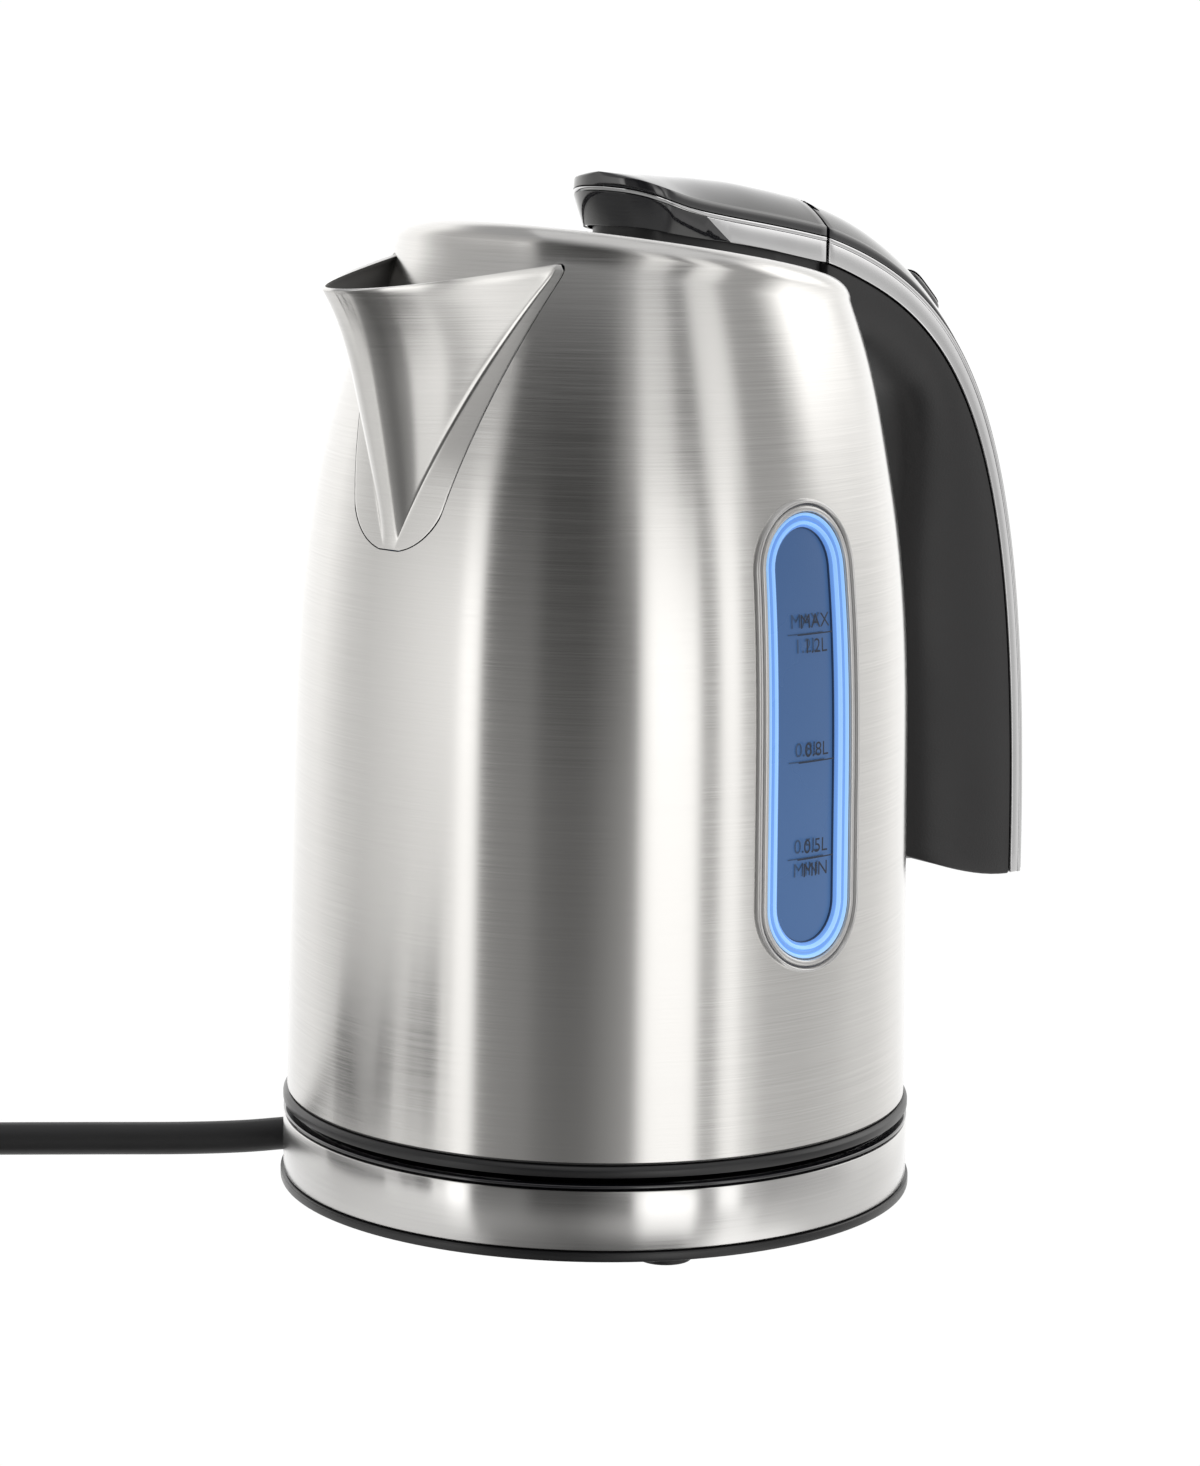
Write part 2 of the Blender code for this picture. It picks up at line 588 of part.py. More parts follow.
def trim_sections(path, thickness):
    """Upright rectangles along a plan path, each square to it."""
    sections = []
    for i, (x, y) in enumerate(path):
        x0, y0 = path[max(i - 1, 0)]
        x1, y1 = path[min(i + 1, len(path) - 1)]
        length = hypot(x1 - x0, y1 - y0)
        nx, ny = -(y1 - y0) / length, (x1 - x0) / length
        if nx * (x - 20) + ny * y > 0:
            nx, ny = -nx, -ny
        undercut = 2.6 * max(0.0, 1 - (x - TONGUE_TIP_X) / TONGUE_NOSE)
        ix, iy = x + nx * thickness, y + ny * thickness
        sections.append([(x + undercut, y, along(TONGUE_FOOT, x)), (x, y, along(TONGUE_TOP, x)),
                         (ix, iy, along(TONGUE_TOP, ix)), (ix + undercut, iy, along(TONGUE_FOOT, ix))])
    return sections


def bridge_ring(x):
    half = tongue_half(x, 12.4, BRIDGE_TIP_X)
    low = 210.3 - LEAN_SLOPE * x + (2.6 if x > 44 else 0.0)
    undercut = along(TONGUE_TOP, x) - 0.3
    return [(-half, low), (-half, undercut), (half, undercut), (half, low)]


# ---------------------------------------------------------------- handle
def spine_point(t):
    p = [Vector(q) for q in SPINE]
    return (p[0] * (1 - t) ** 3 + p[1] * 3 * t * (1 - t) ** 2 + p[2] * 3 * t * t * (1 - t) + p[3] * t ** 3)


def spine_normal(t):
    p = [Vector(q) for q in SPINE]
    way = ((p[1] - p[0]) * (1 - t) ** 2 + (p[2] - p[1]) * 2 * t * (1 - t) + (p[3] - p[2]) * t * t).normalized()
    normal = Vector((-way.y, way.x))
    return (Vector((0, 1)).lerp(normal, smooth_step(t / 0.14))).normalized()


def handle_ring(t, section):
    """Puts a section of (sideways, outwards) points across the handle's spine."""
    at, out = spine_point(t), spine_normal(t)
    return [(at.x + out.x * n, y, at.y + out.y * n) for y, n in section]


def cover_section(t, steps=8):
    band = blend(2.6, 0.3, smooth_step(t / 0.5))
    crown = blend(6.6, 5.0, smooth_step((t - 0.3) / 0.7))
    outer_half, inner_half = 14.2, 12.2
    ys = [outer_half * sin(pi / 2 * (2 * k / steps - 1)) for k in range(steps + 1)]
    top = [(y, band + crown * (1 - (y / outer_half) ** 2)) for y in ys]
    outer = [(-outer_half, 0.2)] + top + [(outer_half, 0.2)]
    inner = [(y * inner_half / outer_half,
              max(band - 1.3, 0.21) * 0.999 + (crown - 1.2) * (1 - (y / outer_half) ** 2)) for y in reversed(ys)]
    return outer + [(inner_half, 0.2)] + inner[1:-1] + [(-inner_half, 0.2)]


def trim_depth(t):
    return blend(5.6, 3.8, smooth_step(t / 0.8))


def grip_section(t, steps=7):
    trim = trim_depth(t) + 0.3
    depth = blend(27.0, 17.5, smooth_step(t / 0.24)) + 14.5 * smooth_step((t - 0.36) / 0.42)
    half = 14.2
    lower = [(half * cos(pi / 2 * k / steps) ** 0.8, -trim - (depth - trim) * sin(pi / 2 * k / steps))
             for k in range(steps)]
    right = [(12.7, -0.15), (12.7, -trim)] + lower
    nose = [(0.0, -depth)]
    return right + nose + [(-y, n) for y, n in reversed(right)]


def bottom_slope(point, t):
    """Lifts the inner side of the handle's free end."""
    x, y, z = point
    inward = max(0.0, SPINE[3][0] - x)
    return x, y, z + 0.0068 * inward ** 2 * smooth_step((t - 0.86) / 0.14)


def stations(count, start=0.0, end=1.0):
    return [blend(start, end, k / count) for k in range(count + 1)]


def handle():
    grip_rings = [[bottom_slope(p, t) for p in handle_ring(t, grip_section(t))] for t in stations(18)]
    grip = add_object("handle_grip", skinned(grip_rings), MATTE)
    boolean(grip, cutter("body_clearance", body_solid(0.4, 150, RIM_Z + 0.6)))
    cover_rings = [handle_ring(t, cover_section(t)) for t in stations(18, 0.001, 0.996)]
    cover = add_object("handle_cover", skinned(cover_rings),
                       GLOSS)
    relief = rod(3.2, (SPLIT_X, -9.1, HINGE_Z), (SPLIT_X, 9.1, HINGE_Z), segments=20)
    boolean(cover, cutter("knuckle_relief", relief))
    for name, side in (("handle_trim_left", -1), ("handle_trim_right", 1)):
        strips = [handle_ring(t, [(side * 13.1, -trim_depth(t)), (side * HALF_WIDTH, -trim_depth(t)),
                                  (side * HALF_WIDTH, -0.1), (side * 13.1, -0.1)]) for t in stations(16)]
        add_object(name, skinned(strips), CHROME)
    button_t = 0.318
    at, out = spine_point(button_t), spine_normal(button_t)
    way = Vector((out.y, -out.x))

    def around(n, s, y):
        return (at.x + out.x * n + way.x * s, y, at.y + out.y * n + way.y * s)

    def button_outline(length, width, n0, n1):
        pts = [(length / 2 * cos(a), width / 2 * sin(a)) for a in [2 * pi * k / 16 for k in range(16)]]
        pts = [((abs(s) / (length / 2)) ** 0.6 * (1 if s > 0 else -1) * length / 2,
                (abs(y) / (width / 2)) ** 0.6 * (1 if y > 0 else -1) * width / 2) if s and y else (s, y)
               for s, y in pts]
        return skinned([[around(n, s, y) for s, y in pts] for n in (n0, n1)])
    boolean(cover, cutter("button_opening", button_outline(16.0, 13.4, 2.0, 16.0)))

    def peg(radius, n0, n1):
        return skinned([[around(n, radius * cos(b), radius * sin(b)) for b in [2 * pi * j / 12 for j in range(12)]]
                        for n in (n0, n1)])
    button = add_object("lid_button", button_outline(15.0, 12.4, 4.4, 10.1), GLOSS, around(6, 0, 0))
    boolean(button, cutter("spring_bore", peg(3.2, 3.0, 9.0)))
    add_object("button_spring", peg(2.6, 1.9, 6.4), STEEL)
    strap = [handle_ring(t, [(-5.5, 0.1), (5.5, 0.1), (5.5, 1.4), (-5.5, 1.4)])
             for t in stations(8, 0.03, 0.40)]
    add_object("handle_bracket", skinned(strap), STEEL)
    for k, t in enumerate((0.12, 0.22)):
        at_t, out_t = spine_point(t), spine_normal(t)
        low = (at_t.x + out_t.x * 1.75, 0, at_t.y + out_t.y * 1.75)
        high = (at_t.x + out_t.x * 3.3, 0, at_t.y + out_t.y * 3.3)
        add_object(f"handle_screw_{k + 1}", rod(2.8, low, high, segments=14), STEEL)
    add_object("hinge_pin", rod(1.0, (SPLIT_X, -8.2, HINGE_Z), (SPLIT_X, 8.2, HINGE_Z), segments=14), STEEL)
    bar = [handle_ring(t, [(-10.2, 0.4), (-6.6, 0.4), (-6.6, 1.9), (-10.2, 1.9)])
           for t in stations(3, 0.008, 0.06)]
    add_object("lid_latch", skinned(bar), MATTE, (60, -8.4, 214.4))


def power_switch():
    """A rocking lever at the foot of the jug, under the handle."""
    pivot = (63.0, 0, 30.5)
    paddle = skinned([[(60.6, y, 28.2), (60.6, y, 32.8), (72.5, y, 32.6), (80.4, y, 29.6), (80.8, y, 27.6),
                       (72.5, y, 28.6)] for y in (-8.4, 8.4)])
    lever = add_object("power_switch", paddle, MATTE, pivot)
    boolean(lever, cutter("switch_bore", rod(1.4, (63, -9, 30.5), (63, 9, 30.5))))
    add_object("switch_spindle", rod(1.05, (63, -10.2, 30.5), (63, 10.2, 30.5), segments=14), STEEL)


# ---------------------------------------------------------------- mains lead
LEAD_ROUTE = ((-36.6, 64.4, 5.1), (-44, 71.3, 4.3), (-54, 80.6, 3.9), (-68.8, 94.3, 3.9), (-85.6, 109.9, 3.9),
              (-105.4, 128.0, 3.9))


def catmull(points, step):
    """Points at an even spacing on a smooth curve through a route."""
    pts = [Vector(p) for p in points]
    pts = [pts[0] * 2 - pts[1]] + pts + [pts[-1] * 2 - pts[-2]]
    fine = []
    for a, b, c, d in zip(pts, pts[1:], pts[2:], pts[3:]):
        for k in range(40):
            t = k / 40
            fine.append(0.5 * ((2 * b) + (c - a) * t + (2 * a - 5 * b + 4 * c - d) * t * t
                               + (3 * b - a - 3 * c + d) * t ** 3))
    fine.append(pts[-2])
    path, run = [fine[0]], 0.0
    for p, q in zip(fine, fine[1:]):
        run += (q - p).length
        if run >= step:
            path.append(q)
            run = 0.0
    if (path[-1] - fine[-1]).length > 0.3 * step:
        path.append(fine[-1])
    else:
        path[-1] = fine[-1]
    return path


def lead_tube(name, route):
    curve = bpy.data.curves.new(name, "CURVE")
    curve.dimensions = "3D"
    curve.bevel_depth = CORD_D / 2 * MM
    curve.bevel_resolution = 2
    curve.use_fill_caps = True
    path = catmull(route, 2.4 * CORD_D)
    line = curve.splines.new("POLY")
    line.points.add(len(path) - 1)
    for point, p in zip(line.points, path):
        point.co = (p.x * MM, p.y * MM, p.z * MM, 1)
    curve.materials.append(RUBBER)
    obj = bpy.data.objects.new(name, curve)
    bpy.context.scene.collection.objects.link(obj)
    obj.parent = kettle


def coil_parts():
    """The put-away length as one ring, with the tie over it."""
    heading = Vector((cos(CORD_HEADING), sin(CORD_HEADING), 0))
    outer_turn = COIL_MEAN_R + CORD_D / 2
    sideways = Vector((-heading.y, heading.x, 0))
    centre = Vector((CORD_EXIT[0], CORD_EXIT[1], 0)) + heading * COIL_RUN + sideways * outer_turn
    low, high = COIL_MEAN_R - CORD_D - 0.1, COIL_MEAN_R + CORD_D + 0.1
    coil = turned([(low, 0.1), (high, 0.1), (high, CORD_D), (COIL_MEAN_R + 4.2, 14.4), (COIL_MEAN_R - 4.2, 14.4),
                   (low, CORD_D)], 28)
    add_object("cord_coil", moved(coil, Matrix.Translation(centre)), RUBBER)
    low, high = low - 0.7, high + 0.7
    arch = [(low - 0.8, 0.4), (low - 0.8, 15.6), (high + 0.8, 15.6), (high + 0.8, 0.4), (high, 0.4), (high, 14.8),
            (low, 14.8), (low, 0.4)]
    tie = skinned([[(x, y, z) for x, z in arch] for y in (-4.5, 4.5)])
    turn = Matrix.Rotation(radians(-100), 4, "Z")
    add_object("coil_tie", moved(tie, Matrix.Translation(centre) @ turn), MATTE)
    return centre + Vector((-outer_turn, -28.5, 11.2))


def plug_parts(start):
    """A round mains plug with two pins, from where the lead enters it."""
    way = Vector((0, -cos(PLUG_TILT), sin(PLUG_TILT)))
    place = Matrix.Translation(start) @ Vector((0, 0, 1)).rotation_difference(way).to_matrix().to_4x4()
    outline = [(0, 0), (4.6, 0), (6.6, 24), (10, 24.6), (12.6, 30), (13.2, 46), (17.4, 50), (18.4, 52),
               (18.4, 61.4), (17.8, PLUG_LENGTH), (0, PLUG_LENGTH)]
    add_object("plug_body", moved(turned(outline, 24), place), MATTE)
    for k, x in ((1, -9.5), (2, 9.5)):
        pin = turned([(0, PLUG_LENGTH + GAP), (2.4, PLUG_LENGTH + GAP), (2.4, 80.0), (1.6, 81.3), (0, 81.3)], 12)
        add_object(f"plug_pin_{k}", moved(pin, place @ Matrix.Translation((x, 0, 0))), BRASS)


base_parts()
jug_body()
spout()
spout_strainer()
gauge_parts()
jug_foot()
collar()
lid_plates()
lid_tongue()
handle()
power_switch()
lead_tube("power_cord", LEAD_ROUTE)
plug_parts(coil_parts())
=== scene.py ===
# %% [markdown]
# # A cordless electric kettle
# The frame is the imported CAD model: its bodies, joints and plain solids. This file adds the surfaces that
# people see and touch. All lengths are worked out in millimetres about the jug's upright axis, with the
# spout towards -X and the handle towards +X, and turned into metres when a piece is finished.

# %% Load the frame
from math import cos, pi, radians, sin, sqrt

import bmesh
import bpy
from mathutils import Matrix, Vector


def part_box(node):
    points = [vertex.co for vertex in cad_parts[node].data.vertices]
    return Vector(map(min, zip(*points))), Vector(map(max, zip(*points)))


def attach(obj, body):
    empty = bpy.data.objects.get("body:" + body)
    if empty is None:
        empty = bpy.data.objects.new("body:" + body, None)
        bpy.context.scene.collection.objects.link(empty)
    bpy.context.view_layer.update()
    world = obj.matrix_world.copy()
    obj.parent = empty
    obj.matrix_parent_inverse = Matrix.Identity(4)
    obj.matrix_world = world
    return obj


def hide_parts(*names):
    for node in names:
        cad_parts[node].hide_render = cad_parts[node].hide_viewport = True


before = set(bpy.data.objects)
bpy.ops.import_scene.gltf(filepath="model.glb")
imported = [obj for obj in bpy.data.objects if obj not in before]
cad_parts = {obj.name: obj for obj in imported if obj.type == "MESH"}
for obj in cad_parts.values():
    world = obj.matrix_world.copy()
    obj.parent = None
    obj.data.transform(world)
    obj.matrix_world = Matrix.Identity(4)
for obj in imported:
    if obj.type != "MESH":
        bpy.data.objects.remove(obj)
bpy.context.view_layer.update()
MM = 0.001
band_low, band_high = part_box("base_band")
AXIS_X = (band_low[0] + band_high[0]) / 2


# %% Small helpers
def in_metres(x, y, z):
    return Vector((x * MM + AXIS_X, y * MM, z * MM))


def new_object(name, data):
    obj = bpy.data.objects.new(name, data)
    bpy.context.scene.collection.objects.link(obj)
    return obj


def node(tree, kind, values=(), **settings):
    """Adds a shader node with its settings, then sets the values of its sockets."""
    made = tree.nodes.new("ShaderNode" + kind)
    for name, value in settings.items():
        setattr(made, name, value)
    for socket, value in dict(values).items():
        made.inputs[socket].default_value = value
    return made


# %% [markdown]
# ## Camera and light
# A long lens stands at table height in front of the spout and a little to its left, so that the spout, the
# gauge and the handle all show. Brushed steel looks like whatever surrounds it. So the surroundings are a
# ring of tall pale panels with darker gaps between them, drawn by direction in the world shader. Seen
# directly they are one plain pale backdrop.

# %% Camera
CAMERA_AT = (-657.5, -623.9, 257.8)
LOOK_AZIMUTH = radians(43.5)
LOOK_DOWN = radians(9.65)
ROLL = 0.0139
FOCAL_MM = 100.4
SENSOR_MM = 36

camera_data = bpy.data.cameras.new("camera")
camera_data.lens = FOCAL_MM
camera_data.sensor_width = SENSOR_MM
camera_data.clip_start = 0.01
camera = new_object("camera", camera_data)
forward = Vector((cos(LOOK_DOWN) * cos(LOOK_AZIMUTH), cos(LOOK_DOWN) * sin(LOOK_AZIMUTH), -sin(LOOK_DOWN)))
facing = forward.to_track_quat("-Z", "Y").to_matrix().to_4x4()
camera.matrix_world = Matrix.Translation(in_metres(*CAMERA_AT)) @ facing @ Matrix.Rotation(ROLL, 4, "Z")
bpy.context.scene.camera = camera

# %% Surroundings
# Each step is (degrees round from behind the camera towards its right, brightness). One ring is for what the
# upright walls see, one for the sloping shoulder, one for what lies lower, which is softer, and one for faces
# that lean well forward, such as the spout's sides. Straight up there is a plain dimmer ceiling.
LEVEL_PANELS = ((-180, 1.3), (-128, 1.3), (-108, 0.90), (-97, 0.84), (-86, 0.96), (-70, 1.2), (-55, 1.4),
                (-51, 2.1), (-46.5, 2.0), (-43.5, 0.24), (-26, 0.24), (-20, 0.10), (-5, 0.08), (4, 0.14),
                (13, 0.24), (15.5, 1.4), (19, 2.0), (35, 1.95), (38.5, 0.56), (43, 0.56), (46, 1.75),
                (51, 1.75), (55, 0.66), (66, 0.50), (76, 0.54), (96, 0.60), (108, 0.86), (122, 0.98),
                (140, 1.25), (180, 1.3))
HIGH_PANELS = ((-180, 1.4), (-128, 1.35), (-112, 0.75), (-100, 0.55), (-60, 0.55), (-46, 0.65), (-41, 0.10),
               (-24, 0.06), (-6, 0.06), (2, 0.12), (11, 0.45), (18, 1.0), (28, 0.80), (33, 0.24),
               (39, 0.22), (44, 1.15), (57, 1.15), (62, 0.45), (80, 0.42), (88, 0.90), (98, 2.0),
               (130, 1.9), (142, 1.0), (180, 1.3))
LOW_PANELS = ((-180, 1.2), (-108, 0.78), (-58, 0.95), (-50, 1.2), (-47, 1.2), (-43, 0.44), (-26, 0.36),
              (-12, 0.27), (-4, 0.32), (11, 0.60), (14, 0.70), (19, 1.45), (35, 1.5), (39, 0.66),
              (44, 0.66), (50, 1.15), (58, 1.2), (64, 0.78), (80, 0.70), (122, 0.86), (140, 1.0),
              (180, 1.2))
TABLE_PANELS = ((-180, 1.1), (-100, 0.95), (-64, 0.85), (-48, 0.62), (-38, 0.24), (-5, 0.13), (34, 0.15),
                (44, 0.9), (52, 1.5), (78, 1.4), (95, 0.9), (140, 0.9), (180, 1.1))
OVERHEAD = 0.46
# A colour ramp stops at 1, so the levels are divided by this and the light's strength puts it back.
SKY_STRENGTH = 2.0
BACKDROP_STRENGTH = 1.02
PANEL_TINT = (1, 0.992, 0.975)
# (lowest, highest) upward part of the view direction where one ring gives way to the next.
TO_LOW, TO_LEVEL, TO_HIGH, TO_CEILING = (-0.56, -0.40), (-0.27, -0.12), (0.0, 0.36), (0.58, 0.80)


def new_world():
    world = bpy.data.worlds.new("studio")
    world.use_nodes = True
    tree = world.node_tree
    tree.nodes.clear()
    link = tree.links.new
    coords = node(tree, "TexCoord")
    turn = node(tree, "Mapping", {"Rotation": (0, 0, -(LOOK_AZIMUTH + pi))}, vector_type="VECTOR")
    parts = node(tree, "SeparateXYZ")
    angle = node(tree, "Math", operation="ARCTAN2")
    unit = node(tree, "MapRange", {"From Min": -pi, "From Max": pi})
    link(coords.outputs["Generated"], turn.inputs["Vector"])
    link(turn.outputs["Vector"], parts.inputs["Vector"])
    link(parts.outputs["Y"], angle.inputs[0])
    link(parts.outputs["X"], angle.inputs[1])
    link(angle.outputs["Value"], unit.inputs["Value"])

    def panel_ring(panels):
        ramp = node(tree, "ValToRGB")
        stops = ramp.color_ramp.elements
        for place, level in panels[1:-1]:
            stops.new((place + 180) / 360).color = (*[level / SKY_STRENGTH * c for c in PANEL_TINT], 1)
        for stop, (_, level) in ((stops[0], panels[0]), (stops[-1], panels[-1])):
            stop.color = (*[level / SKY_STRENGTH] * 3, 1)
        link(unit.outputs["Result"], ramp.inputs["Fac"])
        return ramp.outputs["Color"]

    def change_over(below, above, span):
        """Goes from one ring of panels to the next between two heights in the sky."""
        rise = node(tree, "MapRange", {"From Min": span[0], "From Max": span[1]},
                    interpolation_type="SMOOTHSTEP")
        mix = node(tree, "Mix", data_type="RGBA")
        link(parts.outputs["Z"], rise.inputs["Value"])
        link(rise.outputs["Result"], mix.inputs["Factor"])
        link(below, mix.inputs["A"])
        link(above, mix.inputs["B"])
        return mix.outputs["Result"]

    top = node(tree, "RGB")
    top.outputs[0].default_value = (*[OVERHEAD / SKY_STRENGTH] * 3, 1)
    colour = panel_ring(TABLE_PANELS)
    for panels, span in ((LOW_PANELS, TO_LOW), (LEVEL_PANELS, TO_LEVEL), (HIGH_PANELS, TO_HIGH)):
        colour = change_over(colour, panel_ring(panels), span)
    colour = change_over(colour, top.outputs[0], TO_CEILING)
    light = node(tree, "Background", {"Strength": SKY_STRENGTH})
    plain = node(tree, "Background", {"Color": (1, 1, 1, 1), "Strength": BACKDROP_STRENGTH})
    path = node(tree, "LightPath")
    pick = node(tree, "MixShader")
    out = node(tree, "OutputWorld")
    link(colour, light.inputs["Color"])
    link(path.outputs["Is Camera Ray"], pick.inputs["Fac"])
    link(light.outputs["Background"], pick.inputs[1])
    link(plain.outputs["Background"], pick.inputs[2])
    link(pick.outputs["Shader"], out.inputs["Surface"])
    return world


bpy.context.scene.world = new_world()
bpy.context.scene.view_settings.view_transform = "Standard"


lamp_data = bpy.data.lights.new("overhead_light", "AREA")
lamp_data.shape = "RECTANGLE"
lamp_data.size = lamp_data.size_y = 1.6
lamp_data.energy = 3.0
lamp = new_object("overhead_light", lamp_data)
lamp.location = (0.1, -0.2, 1.6)
lamp.rotation_euler = (Vector((0, 0, 0.1)) - lamp.location).to_track_quat("-Z", "Y").to_euler()

# %% Floor
FLOOR_R = 6.0
floor_bm = bmesh.new()
bmesh.ops.create_circle(floor_bm, cap_ends=True, segments=96, radius=FLOOR_R)
floor_mesh = bpy.data.meshes.new("floor")
floor_bm.to_mesh(floor_mesh)
floor_bm.free()
floor = new_object("floor", floor_mesh)
floor_finish = bpy.data.materials.new("pale_floor")
floor_finish.use_nodes = True
for socket, value in (("Base Color", (0.9, 0.9, 0.9, 1)), ("Roughness", 0.7)):
    floor_finish.node_tree.nodes["Principled BSDF"].inputs[socket].default_value = value
floor_mesh.materials.append(floor_finish)
floor.visible_camera = False
floor.visible_glossy = False

# %% [markdown]
# ## Shaping helpers
# Almost every piece here is either turned about the jug's axis or is a flat grid pressed into a form by a
# rule. So two helpers do most of the work: one spins an outline, and one moves the points of a grid.
# Both keep quads in neat rows, so highlights run smoothly over the metal.

# %% Shaping helpers
SMOOTH = 160
# Points closer than this, in millimetres, are made one.
MERGE, FINAL_MERGE = 0.002, 0.0015


def turned(outline, steps=SMOOTH):
    """Spins an outline of (radius, height) points about the jug's axis."""
    bm = bmesh.new()
    points = [bm.verts.new((r, 0, z)) for r, z in outline]
    edges = [bm.edges.new(pair) for pair in zip(points, points[1:])]
    if outline[0][0] > 0 or outline[-1][0] > 0:
        edges.append(bm.edges.new((points[-1], points[0])))
    bmesh.ops.spin(bm, geom=points + edges, cent=(0, 0, 0), axis=(0, 0, 1), angle=2 * pi, steps=steps,
                   use_merge=True)
    return bm


def formed(columns, rows, rule):
    """A grid whose points (u, v), each from 0 to 1, are moved by a rule to (x, y, z)."""
    bm = bmesh.new()
    bmesh.ops.create_grid(bm, x_segments=columns, y_segments=rows, size=0.5)
    for vert in bm.verts:
        vert.co = rule(vert.co.x + 0.5, vert.co.y + 0.5)
    bmesh.ops.remove_doubles(bm, verts=bm.verts, dist=MERGE)
    return bm


def reshaped(bm, rule):
    for vert in bm.verts:
        vert.co = rule(*vert.co)
    return bm


def moved(bm, matrix):
    bmesh.ops.transform(bm, matrix=matrix, verts=bm.verts)
    return bm


def stood_at(place, way):
    """Carries what stands upright at the origin to a place, with its axis along a direction."""
    return Matrix.Translation(place) @ Vector((0, 0, 1)).rotation_difference(way).to_matrix().to_4x4()


def rod(radius, start, end, steps=48):
    start, end = Vector(start), Vector(end)
    bm = bmesh.new()
    bmesh.ops.create_cone(bm, cap_ends=True, segments=steps, radius1=radius, radius2=radius,
                          depth=(end - start).length)
    return moved(bm, stood_at((start + end) / 2, end - start))


def softened(bm, width, angle=30, steps=3):
    """Rounds the edges that are sharper than an angle."""
    bmesh.ops.remove_doubles(bm, verts=bm.verts, dist=MERGE)
    bmesh.ops.recalc_face_normals(bm, faces=bm.faces)
    sharp = [e for e in bm.edges if len(e.link_faces) == 2 and e.calc_face_angle() > radians(angle)]
    bmesh.ops.bevel(bm, geom=sharp, offset=width, segments=steps, profile=0.5, affect="EDGES", material=-1,
                    clamp_overlap=True)
    return bm


def add_mesh(name, bm, recalc=True):
    bmesh.ops.remove_doubles(bm, verts=bm.verts, dist=FINAL_MERGE)
    if recalc:
        bmesh.ops.recalc_face_normals(bm, faces=bm.faces)
    reshaped(bm, in_metres)
    mesh = bpy.data.meshes.new(name)
    bm.to_mesh(mesh)
    bm.free()
    return new_object(name, mesh)


def as_mesh(obj):
    """The mesh that an object's curve or modifiers give."""
    graph = bpy.context.evaluated_depsgraph_get()
    graph.update()
    return bpy.data.meshes.new_from_object(obj.evaluated_get(graph))


def carve(obj, tools, operation="DIFFERENCE"):
    """Cuts the tools out of a piece for good, and takes the tools away."""
    for tool in tools:
        step = obj.modifiers.new(tool.name, "BOOLEAN")
        step.operation = operation
        step.solver = "EXACT"
        step.object = tool
    mesh = as_mesh(obj)
    obj.modifiers.clear()
    obj.data = mesh
    for tool in tools:
        bpy.data.objects.remove(tool, do_unlink=True)


def finished(obj, body, material, slot, *replaced, smooth=35):
    """Shades a piece, gives it its material, and fixes it to its CAD body."""
    obj.data.materials.clear()
    obj.data.materials.append(material)
    obj.data.shade_smooth()
    obj.data.set_sharp_from_angle(angle=radians(smooth))
    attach(obj, body)
    if replaced:
        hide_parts(*replaced)
    print(f"{obj.name}: {len(obj.data.polygons)} faces on {body}")
    return obj


def piece(name, bm, body, material, slot, *replaced, smooth=35):
    return finished(add_mesh(name, bm), body, material, slot, *replaced, smooth=smooth)


def blend(a, b, t):
    return a + (b - a) * t


def smooth_step(t):
    t = min(max(t, 0.0), 1.0)
    return t * t * (3 - 2 * t)


def along(table, x):
    for (x0, a), (x1, b) in zip(table, table[1:]):
        if x <= x1:
            return blend(a, b, max(0.0, (x - x0) / (x1 - x0)))
    return table[-1][1]


def eased(table, x):
    """Like along, with the corners rounded off."""
    reach = 0.06 * (table[-1][0] - table[0][0])
    return sum(along(table, x + reach * k / 3) for k in range(-3, 4)) / 7


# %% [markdown]
# ## Finishes
# The steel is brushed round the jug, so its grain is a noise stretched along the level direction and
# squeezed upright. Fine grain like that, and the faint unevenness of moulded plastic, are used by several
# finishes. So each is a node group that gives out a mask and a normal, and every material sets its own
# amounts. Constant values stay on the shader's own sockets.

# %% Grain groups
def group(name, values, first_output):
    """A node group whose inputs are numbers, and which gives out a mask, a roughness and a normal."""
    tree = bpy.data.node_groups.new(name, "ShaderNodeTree")
    for label, value in values:
        socket = tree.interface.new_socket(label, in_out="INPUT", socket_type="NodeSocketFloat")
        socket.default_value = value
    for label, kind in ((first_output, "Float"), ("Roughness", "Float"), ("Normal", "Vector")):
        tree.interface.new_socket(label, in_out="OUTPUT", socket_type="NodeSocket" + kind)
    return tree, tree.nodes.new("NodeGroupInput"), tree.nodes.new("NodeGroupOutput")


def grain_outputs(tree, start, end, mask, relief, low, high):
    """The mask goes out as it is and as a roughness, and the relief goes out as a normal."""
    link = tree.links.new
    spread = node(tree, "MapRange", {"From Min": low, "From Max": high})
    link(mask, spread.inputs["Value"])
    link(start.outputs["Low"], spread.inputs["To Min"])
    link(start.outputs["High"], spread.inputs["To Max"])
    bump = node(tree, "Bump", {"Strength": 1.0})
    link(start.outputs["Depth"], bump.inputs["Distance"])
    link(relief, bump.inputs["Height"])
    link(mask, end.inputs[0])
    link(spread.outputs["Result"], end.inputs["Roughness"])
    link(bump.outputs["Normal"], end.inputs["Normal"])
    return tree


FINE_STREAKS, BROAD_STREAKS, BROAD_SHARE = (40, 40, 6500), (16, 16, 1900), 0.14


